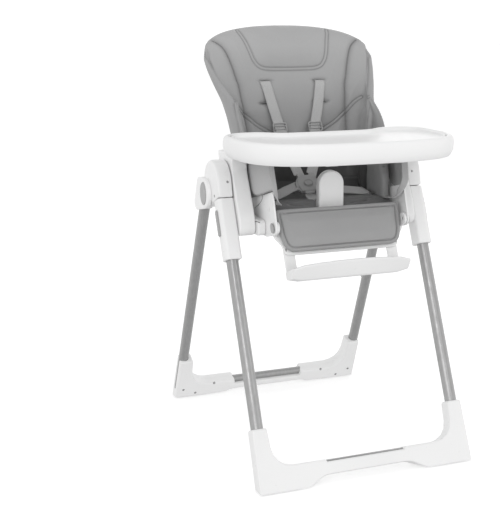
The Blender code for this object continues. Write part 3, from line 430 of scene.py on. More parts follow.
def rounded_outline(corners, steps):
    """A closed outline of (u, v, radius) corners, each an arc."""
    out = []
    for k, (u, v, radius) in enumerate(corners):
        here = Vector((u, v))
        a = (Vector(corners[k - 1][:2]) - here).normalized()
        b = (Vector(corners[(k + 1) % len(corners)][:2]) - here).normalized()
        half = math.acos(max(-1.0, min(1.0, a.dot(b)))) / 2.0
        reach = radius / math.tan(half)
        centre = here + (a + b).normalized() * (reach / math.cos(half))
        start = here + a * reach - centre
        turn = start.angle_signed(here + b * reach - centre)
        out += [centre + Matrix.Rotation(-turn * s / steps, 2) @ start for s in range(steps + 1)]
    return out


def rounded_box(u0, v0, u1, v1, radius, steps=4):
    """A closed rectangle with rounded corners."""
    return rounded_outline([(u0, v0, radius), (u1, v0, radius), (u1, v1, radius), (u0, v1, radius)], steps)


def plane(origin, right, up):
    """Places (u, v, w) in a plane with w out of it."""
    right = Vector(right).normalized()
    up = Vector(up).normalized()
    out = right.cross(up)
    return lambda u, v, w=0.0: Vector(origin) + right * u + up * v + out * w


def add_plate(bm, outline, place, low, high, rim):
    """Adds a plate with rounded rims to a bmesh: outline in the plane, from low to high out of it."""
    centre = sum(outline, Vector((0.0, 0.0))) / len(outline)
    rings = []
    for inset, w in ((rim, low), (0.0, low + rim), (0.0, high - rim), (rim * 0.3, high - rim * 0.3), (rim, high)):
        moved = [p + (centre - p).normalized() * inset for p in outline]
        rings.append([bm.verts.new(place(p.x, p.y, w)) for p in moved])
    join_rings(bm, rings)


def add_stitches(bm, points, normals, length, gap, radius):
    """Adds thread stitches that dip into the surface along a line."""
    travelled = 0.0
    start = None
    for k in range(1, len(points)):
        travelled += (points[k] - points[k - 1]).length
        if start is None and travelled >= gap:
            start, travelled = k, 0.0
        elif start is not None and travelled >= length:
            a, b = points[start], points[k]
            lift = normals[k] * radius * 0.9
            sink = normals[k] * radius * 0.8
            crown = [a.lerp(b, 0.15) + lift * 0.5, (a + b) / 2.0 + lift, a.lerp(b, 0.85) + lift * 0.5]
            add_tube(bm, [a - sink, *crown, b - sink], radius, 6, normals[k])
            start, travelled = None, 0.0


# --- the back pad ---

FINE_Z = np.linspace(0.60, 1.10, 251)
SMOOTHING = 8


def smoothed(table):
    values = np.interp(FINE_Z, *zip(*table))
    kernel = np.hanning(2 * SMOOTHING + 1)
    return np.convolve(np.pad(values, SMOOTHING, mode="edge"), kernel / kernel.sum(), "valid")


PROFILES = [smoothed(t) for t in (OUTER_WIDTH, EDGE_WIDTH, EDGE_Y)]


def back_front_y(z):
    """The back shell's front plane."""
    return 0.109 + (z - 0.83) * BACK_SLOPE


def ease(value):
    value = np.clip(value, 0.0, 1.0)
    return value * value * (3.0 - 2.0 * value)


def bell(distance, width, power=2):
    return np.exp(-(distance / width) ** power)


def quarter_round(distance, radius):
    """Rises from 0 to 1 over the radius as a quarter circle does."""
    return np.sqrt(1.0 - (1.0 - np.clip(distance / radius, 0.0, 1.0)) ** 2)


def faded(a, b, share):
    return a * (1.0 - share) + b * share


def quarter_steps(count):
    """Steps from 0 to 1 that crowd towards 1."""
    return np.sin(np.linspace(0.0, math.pi / 2.0, count))


def section(z, share):
    """Right half of the pad's outer surface at a height: share runs from the middle to the wing's edge."""
    width, edge_x, edge_y = (np.interp(z, FINE_Z, p) for p in PROFILES)
    middle = back_front_y(z) + BACK_DEPTH
    depth = middle - edge_y
    t, s = share, 1.0 - share
    weights = (s ** 3, 3 * s * s * t, 3 * s * t * t, t ** 3)
    xs = (0.0, width * 0.80, width * 1.10, edge_x)
    ys = (middle, middle + 0.004, middle - 0.30 * depth, edge_y)
    return sum(w * x for w, x in zip(weights, xs)), sum(w * y for w, y in zip(weights, ys))


def back_grid(shares, rows):
    """Points of the pad's outer surface: rows 0 to 1 rise to the dome, 1 to 2 close over its top."""
    share, row = np.meshgrid(np.abs(shares), rows)
    z = PAD_BOTTOM_Z + (DOME_Z - PAD_BOTTOM_Z) * np.clip(row, 0, 1)
    x, y = section(z, share)
    rise = np.clip(row - 1.0, 0.0, 1.0)
    angle = share * math.pi / 2.0
    inwards = np.maximum(np.cos(angle), 0.0)
    top_x = DOME_HALF_WIDTH * np.sin(angle) ** DOME_POWER
    top_y = DOME_EDGE_Y + DOME_LEAN * inwards ** 0.8
    full = DOME_HEIGHT * inwards ** DOME_POWER
    climbed = full * rise
    lean = BACK_SLOPE * climbed + (top_y - y - BACK_SLOPE * full) * rise ** 2
    return np.stack([np.sign(shares) * (x + (top_x - x) * rise), y + lean, z + climbed], -1), share, row


def back_normals(points):
    """Unit normals of a grid towards the child."""
    normal = np.cross(np.gradient(points, axis=1), np.gradient(points, axis=0))
    normal /= np.maximum(np.linalg.norm(normal, axis=-1, keepdims=True), 1e-12)
    for column, inner in ((0, 2), (1, 2), (-1, -3), (-2, -3)):
        normal[:, column] = normal[:, inner]
    normal[-1] = normal[-2]
    return normal


def bend_towards(points, normal, axis):
    """How sharply a grid curves towards its normals along an axis, in 1/m: an offset deeper than 1/bend folds."""
    step = np.gradient(points, axis=axis)
    length = np.maximum(np.linalg.norm(step, axis=-1, keepdims=True), 2e-4)
    turn = np.gradient(step / length, axis=axis) / length
    return np.clip(blurred((turn * normal).sum(-1), 3), 0.0, 400.0)


def blurred(values, reach, axes=(0, 1)):
    """A grid averaged three times over 2 * reach + 1 neighbours along each axis."""
    width = 2 * reach + 1
    for _ in range(3):
        for axis in axes:
            count = values.shape[axis]
            margins = [(reach + 1, reach) if k == axis else (0, 0) for k in range(values.ndim)]
            total = np.cumsum(np.pad(values, margins, mode="edge"), axis=axis)
            high = np.take(total, np.arange(width, width + count), axis=axis)
            values = (high - np.take(total, np.arange(count), axis=axis)) / width
    return values


def rounded_shoulders(surface, share, level):
    """Softens the fold where the wings' edges meet the dome."""
    count = len(surface)
    near = bell(np.arange(count) - level, 0.15 * count)[:, None]
    weight = (ease((share - 0.05) / 0.40) * near)[..., None]
    return faded(surface, blurred(surface, max(2, round(0.034 * count)), (0,)), weight)


# Seams on the front, as (half width, height) at rest; each is mirrored.
SEAMS = {
    "headrest": ((0.129, 1.060), (0.125, 1.050), (0.117, 1.030), (0.111, 1.010), (0.105, 0.990), (0.099, 0.978),
                 (0.088, 0.9655), (0.070, 0.9595), (0.045, 0.9580), (0.0, 0.9575)),
    "bolster": ((0.205, 1.034), (0.195, 1.028), (0.184, 1.018), (0.176, 1.004), (0.170, 0.988), (0.163, 0.965),
                (0.157, 0.940), (0.151, 0.920), (0.148, 0.900), (0.146, 0.880), (0.143, 0.860), (0.141, 0.830),
                (0.139, 0.780), (0.137, 0.700)),
    "wing": ((0.055, 0.786), (0.080, 0.798), (0.108, 0.814), (0.132, 0.834), (0.150, 0.852), (0.167, 0.869),
             (0.182, 0.880), (0.194, 0.886), (0.2035, 0.889)),
    "fold": ((0.168, 0.800), (0.172, 0.830), (0.180, 0.852), (0.190, 0.866), (0.199, 0.872)),
}
# The headrest's and the wings' seams are double: two lines of needle holes beside a welt.
WELT = 0.0042
STITCH_OFFSET = 0.0072
# (seam, offset from it, width, depth); a negative depth is a ridge.
GROOVES = (
    ("bolster", 0.0, 0.0095, 0.0042), ("bolster", 0.0, 0.0030, 0.0022), ("fold", 0.0, 0.0055, 0.0022),
    ("headrest", 0.0, 0.0110, 0.0024), ("headrest", WELT, 0.0021, 0.0012), ("headrest", 0.0, 0.0026, -0.0010),
    ("wing", 0.0, 0.0110, 0.0024), ("wing", WELT, 0.0021, 0.0012), ("wing", 0.0, 0.0026, -0.0010),
)
# (seam, offset from it, width, how much darker): the narrow rows are dark seam lines, the wide bolster and wing
# rows painted shade in the creases beside the seams.
SEAM_LINES_AND_CREASE_SHADE = (
    ("headrest", WELT, 0.0015, 0.8), ("wing", WELT, 0.0015, 0.8), ("wing", 0.0, 0.0120, 0.12),
    ("bolster", 0.0, 0.0018, 0.9), ("bolster", 0.0, 0.0085, 0.34), ("fold", 0.0, 0.0018, 0.5),
)
# Harness slots, as (x, height, half width) at rest.
SLOTS = ((0.077, 0.927, 0.0175), (0.079, 0.869, 0.0185))
BACKWARDS = Vector((0.0, 1.0, 0.0))
HALF_ARC = 0.33
SIDE_HEIGHT = 0.345
EDGE_ROLL = 0.013
TOP_ROLL = 0.030


def project(line, tree):
    """Drops a front-view line onto the pad's front, as (point, normal) 1.5 mm apart, and mirrors it."""
    curve = route([(x, 0.0, z) for x, z in line], 0.0015)
    lines = []
    for sign in (-1.0, 1.0):
        hits = [tree.ray_cast(Vector((sign * p.x, -0.5, p.z)), BACKWARDS)[:2] for p in curve]
        lines.append([(hit, -normal if normal.y > 0 else normal) for hit, normal in hits if hit is not None])
    return lines


def distance_to(points, places):
    """Each place's distance to the nearest of the points."""
    tree = KDTree(len(points))
    for k, p in enumerate(points):
        tree.insert(p, k)
    tree.balance()
    return np.array([tree.find(p)[2] for p in places])


def wrinkle(points, scale, seed):
    offset = Vector((seed, seed * 0.7, seed * 1.3))
    return np.array([noise.noise(Vector(p) * scale + offset) for p in points])


def pad_surfaces():
    """Grids of the back pad's front, rear and front normals, with each point's share, and distance to the edge."""
    columns, heights = ((330, 280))
    rim = np.sort(1.0 - 0.06 * (1.0 - quarter_steps(11)[1:]))
    shares = np.concatenate([-rim[::-1], np.linspace(-0.94, 0.94, columns), rim])
    lower = 1.0 - np.cos(np.linspace(0.0, math.pi / 2.0, 7))[:-1]
    rows = np.concatenate([0.03 * lower, np.linspace(0.03, 1.0, int(heights * 0.78)),
                           1.0 + np.linspace(0.0, 0.84, int(heights * 0.2))[1:],
                           1.0 + (1.0 - 0.16 * (1.0 - quarter_steps(10)[1:]))])
    surface, share, row = back_grid(shares, rows)
    level = int(np.argmax(rows >= 1.0))
    surface = rounded_shoulders(surface, share, level)
    z = surface[..., 2]

    normal = back_normals(surface)
    normal[level:] = faded(normal[level:], normal[level], ease((share[level:] - 0.80) / 0.16)[..., None])
    soft = (ease((share - 0.30) / 0.30) * ease((z - 0.86) / 0.06))[..., None]
    normal = faded(normal, blurred(normal, 9), soft)
    normal /= np.linalg.norm(normal, axis=-1, keepdims=True)

    dome_height = np.linalg.norm(surface[-1] - surface[level], axis=-1)[None, :]
    from_top = np.where(row > 1.0, (2.0 - row) * dome_height, dome_height + (1.0 - row) * SIDE_HEIGHT)
    from_bottom = row * (DOME_Z - PAD_BOTTOM_Z)
    edge = np.minimum(np.minimum((1.0 - share) * HALF_ARC, from_top), from_bottom)
    bulge = quarter_round(edge, EDGE_ROLL)

    # The front is thinner at the wings and the top, and where the surface curves too sharply for its full depth.
    taper = np.interp(z, (0.84, 0.92, 1.03), (0.0012, 0.0030, 0.0038)) * np.maximum(0.0, share * 10.0 - 5.0)
    front_depth = (BACK_DEPTH - taper) * (1.0 - 0.45 * ease((z - 0.955) / 0.11))
    bend = (bend_towards(surface, normal, 1) + bend_towards(surface, normal, 0)) * ease((z - 0.83) / 0.06)
    front_depth = front_depth / (1.0 + (front_depth * bend / 0.38) ** 4) ** 0.25
    front_depth = blurred(np.maximum(front_depth, 0.004), 20)
    bare = np.maximum(ease((share - 0.66) / 0.08), ease((z - 1.017) / 0.014))
    rear_depth = faded(SHELL_DEPTH, 0.0010, bare)
    middle = (front_depth + rear_depth) / 2.0
    front_bulge = np.minimum(bulge, quarter_round(from_top, TOP_ROLL))
    front = surface + normal * faded(middle, front_depth, front_bulge)[..., None]
    rear = surface + normal * faded(middle, rear_depth, bulge)[..., None]
    return front, rear, normal, share, edge


def quilting(points, distance, share, edge):
    """How far each point of the pad's front is lifted along its normal, and how dark it is: dark seam lines, and
    painted shade in the creases beside the bolster and wing seams and in the slot openings.
    """
    nearest = np.minimum(np.minimum(distance["headrest"], distance["bolster"]), np.minimum(distance["wing"], edge))
    lift = 0.0075 * (1.0 - bell(nearest, 0.036))
    lift -= sum(depth * bell(distance[seam] - offset, width) for seam, offset, width, depth in GROOVES)
    seam_lines_and_shade = sum(shade * bell(distance[seam] - offset, width) for seam, offset, width, shade in SEAM_LINES_AND_CREASE_SHADE)

    z = points[:, 2]
    rim_line = bell((share - 0.955) * HALF_ARC, 0.0014) * ease((z - 0.80) / 0.05) * (1.0 - ease((z - 0.96) / 0.03))
    lift -= 0.0007 * rim_line
    seam_lines_and_shade += 0.6 * rim_line

    for x, height, half in SLOTS:
        dx = (np.abs(points[:, 0]) - x) / half
        dz = z - height
        lift -= 0.0060 * bell(dx, 1.0, 4) * bell(dz, 0.0036) + 0.0035 * bell(dx, 1.25, 4) * bell(dz, 0.0110)
        # Painted shade in each slot's opening: a dark slit.
        seam_lines_and_shade += 1.2 * bell(dx, 0.96, 8) * bell(dz, 0.0016)
        reach = np.maximum(np.abs(dx) - 0.9, 0.0) * half
        lift -= 0.0016 * bell(reach, 0.010) * bell(dz, 0.0024) * (np.abs(dx) > 0.9)

    lift += 0.0007 * wrinkle(points, 14.0, 3.1) + 0.0004 * wrinkle(points, 38.0, 9.4)
    near_seam = bell(np.minimum(distance["bolster"], distance["wing"]), 0.016)
    lift += 0.0006 * near_seam * wrinkle(points * np.array([1.0, 1.0, 2.6]), 55.0, 5.2)
    return lift * np.clip(edge / 0.010, 0.0, 1.0), np.minimum(1.0, seam_lines_and_shade)


def make_back_pad():
    """The quilted back pad with its seams, and the thread beside them and round its harness slots."""
    front, rear, normal, share, edge = pad_surfaces()
    quads = grid_faces(front.shape[:2])
    flat = front.reshape(-1, 3)
    vertices = [Vector(p) for p in flat]
    tree = BVHTree.FromPolygons(vertices, quads)
    lines = {seam: project(line, tree) for seam, line in SEAMS.items()}
    distance = {seam: distance_to([p for line in pair for p, _ in line], vertices) for seam, pair in lines.items()}
    lift, seam_lines_and_shade = quilting(flat, distance, share.ravel(), edge.ravel())
    flat = flat + normal.reshape(-1, 3) * lift[:, None]

    bm = bmesh.new()
    seam = bm.verts.layers.float.new("seam")
    fronts = [bm.verts.new(p) for p in flat]
    for v, value in zip(fronts, seam_lines_and_shade):
        v[seam] = float(value)
    backs = [bm.verts.new(p) for p in rear.reshape(-1, 3)]
    for quad in quads:
        bm.faces.new([fronts[i] for i in quad])
        bm.faces.new([backs[i] for i in quad[::-1]])
    bmesh.ops.remove_doubles(bm, verts=bm.verts, dist=0.00003)
    pad = new_piece("back_pad", bm, PAD, "backrest")
    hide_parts("backrest_cushion")
    bm = bmesh.new()
    tree = surface_tree(pad)
    for points in (*lines["headrest"], *lines["wing"]):
        stitch_beside(bm, points, tree)
    add_slot_linings(bm, tree)
    new_piece("back_stitching", bm, THREAD, "backrest")


def grid_faces(shape):
    """The quads of a grid, as indices of its corners."""
    index = np.arange(shape[0] * shape[1]).reshape(shape)
    corners = (index[:-1, :-1], index[:-1, 1:], index[1:, 1:], index[1:, :-1])
    return np.stack(corners, -1).reshape(-1, 4).tolist()


def stitch_beside(bm, points, tree):
    """Stitches on both sides of a double seam."""
    for side in (-STITCH_OFFSET, STITCH_OFFSET):
        line, normals = [], []
        for (before, _), (here, out), (after, _) in zip(points, points[1:], points[2:]):
            across = (after - before).normalized().cross(out).normalized() * side
            hit, normal, _, _ = tree.ray_cast(here + across + out * 0.02, -out)
            if hit is not None:
                line.append(hit)
                normals.append(normal)
        if len(line) > 4:
            add_stitches(bm, line, normals, 0.0030, 0.0012, 0.00022)


def add_slot_linings(bm, tree):
    """Corded rims round the four harness slots."""
    for x, height, half in SLOTS:
        for side in (-1.0, 1.0):
            ring = [tree.ray_cast(Vector((side * x + p.x, -0.5, height + p.y)), BACKWARDS)[0]
                    for p in disc(half * 0.97, 0.0027)]
            add_tube(bm, ring + ring[:1], 0.0006, 6, BACKWARDS)


# --- soft pads ---

CLOTH_STEPS = 20
SEAT_TOP_Z = 0.6360
SEAT_PINNED_Z = 0.604


def swollen(node, voxel, cap, pin=None):
    """A copy of a CAD solid, remeshed and blown up as sewn cloth; pin(point) is 1 where it is held down."""
    scene = bpy.context.scene
    mesh = NODES[node].data.copy()
    clear_custom_normals(mesh)
    item = linked(f"{node}_cloth", mesh)
    modify(item, "REMESH", "remesh", mode="VOXEL", voxel_size=voxel, use_smooth_shade=True)
    modify(item, "SMOOTH", "smooth", iterations=3)
    item = replace_by_evaluated(item)
    start = coordinates(item.data)
    held = item.vertex_groups.new(name="held")
    for k, p in enumerate(start):
        held.add([k], float(pin(p)) if pin else 0.0, "REPLACE")
    cloth = modify(item, "CLOTH", "cloth")
    settings = cloth.settings
    settings.quality = 5
    settings.mass = 0.3
    settings.tension_stiffness = settings.compression_stiffness = 18.0
    settings.shear_stiffness = 9.0
    settings.bending_stiffness = 0.6
    settings.use_pressure = True
    settings.uniform_pressure_force = 4.0
    settings.effector_weights.gravity = 0.0
    settings.vertex_group_mass = "held"
    cloth.collision_settings.use_collision = False
    cloth.point_cache.frame_end = CLOTH_STEPS
    for step in range(CLOTH_STEPS):
        scene.frame_set(step + 1)
    item = replace_by_evaluated(item)
    scene.frame_set(1)
    moved = coordinates(item.data) - start
    length = np.linalg.norm(moved, axis=1, keepdims=True)
    set_coordinates(item.data, start + moved * np.minimum(1.0, cap / np.maximum(length, 1e-9)))
    return item


def coordinates(mesh):
    return np.array([v.co for v in mesh.vertices])


def set_coordinates(mesh, points):
    mesh.vertices.foreach_set("co", points.astype(np.float32).ravel())


def replace_by_evaluated(item):
    """Swaps an object for one with its modifiers applied."""
    graph = bpy.context.evaluated_depsgraph_get()
    mesh = bpy.data.meshes.new_from_object(item.evaluated_get(graph))
    name = item.name
    bpy.data.objects.remove(item)
    fresh = linked(name, mesh)
    bpy.context.view_layer.update()
    return fresh


def seat_piece(name, node, material, voxel, cap, groove, depth, width, pin=None):
    """A sewn cushion on the seat, with a seam pressed in along the groove."""
    item = swollen(node, voxel, cap, pin)
    item.name = name
    mesh = item.data
    distance = distance_to(groove, coordinates(mesh))
    normals = np.array([v.normal for v in mesh.vertices])
    set_coordinates(mesh, coordinates(mesh) - normals * (depth * bell(distance, width))[:, None])
    seam = mesh.attributes.new("seam", "FLOAT", "POINT")
    seam.data.foreach_set("value", bell(distance, 0.0030).astype(np.float32))
    mesh.materials.clear()
    mesh.materials.append(material)
    mesh.shade_smooth()
    modify(item, "SUBSURF", "finer", levels=1, render_levels=1)
    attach(item, "seat")
    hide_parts(node)


def make_seat_pads():
    """The seat cushion with its stitched border, and the two side cushions, in darker copies of the leatherette
    that paint shade on them.
    """
    loop = [Vector((u, v, SEAT_TOP_Z)) for u, v in rounded_box(-0.120, -0.125, 0.120, 0.020, 0.03, 6)]
    seat_piece("seat_pad", "seat_cushion", SEAT_PAD_PAINTED_SHADE, 0.005, 0.005, route([*loop, loop[0]], 0.003), 0.0040, 0.0050,
               pin=lambda p: p[2] < SEAT_PINNED_Z)
    line = [(0.158, -0.120, 0.722), (0.156, -0.090, 0.705), (0.156, -0.040, 0.700), (0.160, 0.0, 0.705)]
    for name, side in SIDES.items():
        seat_piece(f"side_cushion_{name}", f"side_pad_{name}", SIDE_PAD_PAINTED_SHADE, 0.0045, 0.006,
                   route(mirrored(line, side), 0.003), 0.0030, 0.0045)


LEG_ORIGIN = Vector((0.0, -0.2030, 0.5970))
LEG_TILT = math.radians(24.0)
LEG_PLANE = plane(LEG_ORIGIN, (1.0, 0.0, 0.0), (0.0, math.sin(LEG_TILT), math.cos(LEG_TILT)))
LEG_PAD_BACK = -0.0180
LEG_PAD_FRONT = -0.0045
LEG_SEAM = 0.0095
LEG_CORNERS = ((-0.165, 0.0455, 0.006), (-0.160, -0.020, 0.060), (-0.150, -0.0600, 0.030),
               (0.150, -0.0600, 0.030), (0.160, -0.020, 0.060), (0.165, 0.0455, 0.006))


def inset_outline(outline, distance):
    """Moves a closed outline inwards along its corner normals."""
    count = len(outline)
    out = []
    for k, here in enumerate(outline):
        along = (outline[(k + 1) % count] - outline[k - 1]).normalized()
        out.append(here + Vector((-along.y, along.x)) * distance)
    return out


def edge_distance(points, outline):
    """Distance of plane points to a closed outline."""
    a = np.array([p[:] for p in outline])
    step = np.roll(a, -1, 0) - a
    offset = points[:, None, :] - a[None]
    share = np.clip((offset * step).sum(-1) / np.maximum((step * step).sum(-1), 1e-12), 0.0, 1.0)
    return np.linalg.norm(offset - share[..., None] * step, axis=-1).min(1)


def level_loop(outline, centre, distance):
    """The closed line inside an outline at an even distance from it."""
    rim = np.array([p[:] for p in outline]) - centre
    low, high = np.zeros(len(rim)), np.ones(len(rim))
    for _ in range(18):
        middle = (low + high) / 2.0
        inside = edge_distance(centre + rim * middle[:, None], outline) > distance
        low = np.where(inside, middle, low)
        high = np.where(inside, high, middle)
    return [Vector(p) for p in centre + rim * low[:, None]]


def make_leg_pad():
    """A flat quilted panel: a bound edge, a stitched border and a softly crowned middle."""
    dense = resampled(rounded_outline(LEG_CORNERS, 10), 0.0035, closed=True)
    centre = np.array((0.0, -0.0070))
    rim = np.array([p[:] for p in dense]) - centre
    insets = np.concatenate([np.linspace(0.0, 0.06, 14), np.linspace(0.065, 0.50, 62), np.linspace(0.56, 0.94, 8)])
    bm = bmesh.new()
    seam = bm.verts.layers.float.new("seam")
    thickness = LEG_PAD_FRONT - LEG_PAD_BACK
    rings = [[bm.verts.new(LEG_PLANE(*p, LEG_PAD_BACK)) for p in centre + rim * 0.985]]
    for inset in insets:
        flat = centre + rim * (1.0 - inset)
        distance = edge_distance(flat, dense)
        border = bell(distance - LEG_SEAM, 0.0015)
        height = LEG_PAD_BACK + thickness * (0.45 + 0.55 * quarter_round(distance, 0.0050))
        height += 0.0030 * ease((distance - LEG_SEAM) / 0.026) - 0.0026 * border
        height += 0.0005 * wrinkle(np.column_stack([flat, np.zeros(len(flat))]), 22.0, 1.7)
        rings.append([bm.verts.new(LEG_PLANE(*p, w)) for p, w in zip(flat, height)])
        for v, value in zip(rings[-1], border):
            v[seam] = float(value) * 0.55
    join_rings(bm, rings)
    pad = new_piece("leg_pad", bm, LEG_PAD, "leg_rest")
    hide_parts("leg_rest_pad")

    def inner_line(distance, height):
        return [LEG_PLANE(p.x, p.y, LEG_PAD_FRONT + height) for p in level_loop(dense, centre, distance)]

    out = LEG_PLANE(0, 0, 1) - LEG_PLANE(0, 0)
    bm = bmesh.new()
    edge = inner_line(0.0018, -0.0024)
    add_tube(bm, edge + edge[:1], 0.0021, 8, out)
    new_piece("leg_pad_binding", bm, BINDING, "leg_rest")
    bm = bmesh.new()
    for beside in (-0.0026, 0.0026):
        line = resampled(inner_line(LEG_SEAM + beside, 0.0001), 0.0006, closed=True)
        add_stitches(bm, line, [out] * len(line), 0.0034, 0.0016, 0.00034)
    new_piece("leg_pad_stitching", bm, THREAD, "leg_rest")


# --- harness ---

PRONG_DEPTH = (-0.0042, 0.0048)
BUCKLE_PLACE = plane(BUCKLE_CENTRE, (1.0, 0.0, 0.0), (0.0, math.sin(BUCKLE_TILT), math.cos(BUCKLE_TILT)))


def make_harness():
    """The webbing of the five-point harness, its sliders and the buckle's details."""
    place = BUCKLE_PLACE
    crotch = strap("crotch_webbing", [place(0.0, -0.0270, -0.001), place(0.003, -0.0385, -0.001),
                                      (-0.018, -0.0940, 0.6450)], (0.0, -0.60, 0.80), "seat")
    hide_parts("crotch_strap")
    for name, side in SIDES.items():
        tip = place(side * 0.0300, -0.004, 0.0)
        waist = strap(f"waist_webbing_{name}", [tip, tip + Vector((side * 0.024, 0.004, -0.010)),
                                                (side * 0.118, -0.058, 0.6500), (side * 0.140, -0.046, 0.6490)],
                      (0.0, -0.55, 0.85), "seat")
        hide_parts(f"waist_strap_{name}")
        line = [(side * 0.0785, back_front_y(0.926) + 0.0080, 0.9270),
                (side * 0.0770, back_front_y(0.918) - 0.0095, 0.9190),
                (side * 0.064, back_front_y(0.86) - 0.0150, 0.860), (side * 0.049, 0.084, 0.800),
                (side * 0.038 - 0.006, 0.036, 0.744), place(side * 0.0165, 0.0250, 0.0)]
        shoulder = strap(f"shoulder_webbing_{name}", line, (0.0, -1.0, 0.35), None)
        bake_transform(shoulder)
        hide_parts(f"shoulder_strap_{name}")
        make_adjuster(name, side)
    make_buckle_trim(place)


def make_adjuster(name, side):
    """A three-bar slider: a flat frame with two windows that the webbing passes through."""
    place = plane((side * 0.0505, 0.0870, 0.8060), (1.0, 0.0, 0.0), (0.0, 0.30, 0.954))
    bm = bmesh.new()
    ring = [place(u, v, 0.0030) for u, v in rounded_box(-0.0185, -0.0120, 0.0185, 0.0120, 0.004, 5)]
    add_tube(bm, ring + ring[:1], 0.0018, 8, (0.0, -1.0, 0.3))
    for v in (-0.0045, 0.0045):
        add_tube(bm, [place(-0.0175, v, 0.0034), place(0.0, v, 0.0040), place(0.0175, v, 0.0034)], 0.0016)
    slider = new_piece(f"adjuster_{name}", bm, GREY, "backrest")
    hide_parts(f"strap_adjuster_{name}")


def make_buckle_trim(place):
    """The raised rim round the buckle's button, the prongs of the straps and the body's moulded plate."""
    bm = bmesh.new()
    ring = [place(u, v - 0.001, 0.0062) for u, v in disc(0.0128, 0.0098, 32)]
    add_tube(bm, ring + ring[:1], 0.0009, 6, place(0, 0, 1) - place(0, 0))
    for side in (-1.0, 1.0):
        for prong in ((0.0240, -0.010, 0.0335, 0.004, 0.002), (0.0080, 0.0185, 0.0245, 0.0285, 0.002)):
            add_plate(bm, [Vector((side * u, v)) for u, v in rounded_box(*prong)], place, *PRONG_DEPTH, 0.0012)
    half = [(0.0225, -0.0235, 0.005), (0.0315, -0.0130, 0.004), (0.0315, 0.0070, 0.004), (0.0220, 0.0215, 0.005)]
    body = rounded_outline([*half, *mirrored(half[::-1], -1.0)], 4)
    add_plate(bm, body, place, -0.0052, 0.0030, 0.0014)
    add_plate(bm, rounded_box(-0.013, -0.0300, 0.013, -0.0220, 0.003), place, *PRONG_DEPTH, 0.0012)
    new_piece("buckle_trim", bm, DARK_GREY, "seat")


# --- tray ---

TRAY_HALF_WIDTH = 0.2770
TRAY_FRONT_Y = -0.3860
TRAY_MIDDLE_Y = -0.1770
TRAY_POWER = 2.9
TRAY_REAR_Y = -0.0560
TRAY_REAR_MIDDLE_Y = -0.1020
TRAY_BOTTOM_Z = 0.7640
TRAY_TOP_Z = 0.8145
TRAY_FLOOR_Z = TRAY_TOP_Z - 0.0140


def tray_outline():
    """The tray's edge: a superellipse at the front and a concave rear between two tips."""
    front = []
    for k in range(161):
        angle = math.pi * k / 160.0
        c = math.cos(angle)
        x = TRAY_HALF_WIDTH * math.copysign(abs(c) ** (2.0 / TRAY_POWER), c)
        y = TRAY_MIDDLE_Y - (TRAY_MIDDLE_Y - TRAY_FRONT_Y) * math.sin(angle) ** (2.0 / TRAY_POWER)
        front.append(Vector((x, y)))
    half = [(TRAY_HALF_WIDTH, TRAY_MIDDLE_Y, 0.001), (TRAY_HALF_WIDTH - 0.004, TRAY_REAR_Y, 0.072),
            (0.165, TRAY_REAR_Y, 0.070), (0.115, TRAY_REAR_MIDDLE_Y, 0.070)]
    rear = rounded_outline([*mirrored(half, -1.0), *half[::-1]], 14)
    outline = resampled(front + rear[15:-15], 0.0035, closed=True)
    for _ in range(3):
        outline = [(a + b * 2 + c) / 4 for a, b, c in zip(outline[-1:] + outline, outline, outline[1:] + outline)]
    return outline[::-1]


def lofted(bm, outline, profile):
    """Adds a closed body to a bmesh: rings of the outline at (inset, height), joined and capped."""
    rings = [[bm.verts.new((q.x, q.y, p.z)) for q in inset_outline(outline, p.x)]
             for p in route([(inset, 0.0, z) for inset, z in profile], 0.0012)]
    bmesh.ops.triangulate(bm, faces=join_rings(bm, rings))


def make_tray():
    """The tray's shell with a soft rolled rim, and the loose insert with its raised bead and shallow basin."""
    outline = tray_outline()
    floor, top, bottom = TRAY_FLOOR_Z, TRAY_TOP_Z, TRAY_BOTTOM_Z
    rim = [(0.0300, floor - 0.0035), (0.0150, floor - 0.0042), (0.0130, floor - 0.0100), (0.0125, bottom + 0.0030),
           (0.0112, bottom), (0.0095, bottom + 0.0006), (0.0055, bottom + 0.0065), (0.0022, bottom + 0.0140),
           (0.0004, bottom + 0.0240), (0.0002, bottom + 0.0330), (0.0014, top - 0.0085), (0.0042, top - 0.0032),
           (0.0080, top - 0.0006), (0.0120, top), (0.0156, top - 0.0012), (0.0180, top - 0.0048),
           (0.0200, top - 0.0100), (0.0240, floor - 0.0004), (0.0300, floor - 0.0001)]
    bm = bmesh.new()
    lofted(bm, outline, rim)
    for side in (-1.0, 1.0):
        runner = [Vector((side * x, y)) for x, y in rounded_box(0.206, -0.300, 0.232, -0.100, 0.004)]
        add_plate(bm, runner, lambda u, v, w: Vector((u, v, w)), bottom, floor - 0.0038, 0.0010)
    shell = new_piece("tray_shell", bm, OPAL, "tray_body")
    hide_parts("tray")
    bead = [(0.0320, 0.0004), (0.0225, 0.0050), (0.0210, 0.0090), (0.0212, 0.0118), (0.0230, 0.0128),
            (0.0255, 0.0112), (0.0285, 0.0070), (0.0320, 0.0046), (0.0400, 0.0034), (0.0440, 0.0031)]
    bm = bmesh.new()
    lofted(bm, outline, [(inset, floor + height) for inset, height in bead])
    insert = new_piece("tray_liner", bm, OPAL, "tray_insert_body")
    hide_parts("tray_insert")


# --- cover fabric at the seat's sides ---

SHEET_ROWS = 18
SHEET_COLUMNS = 34


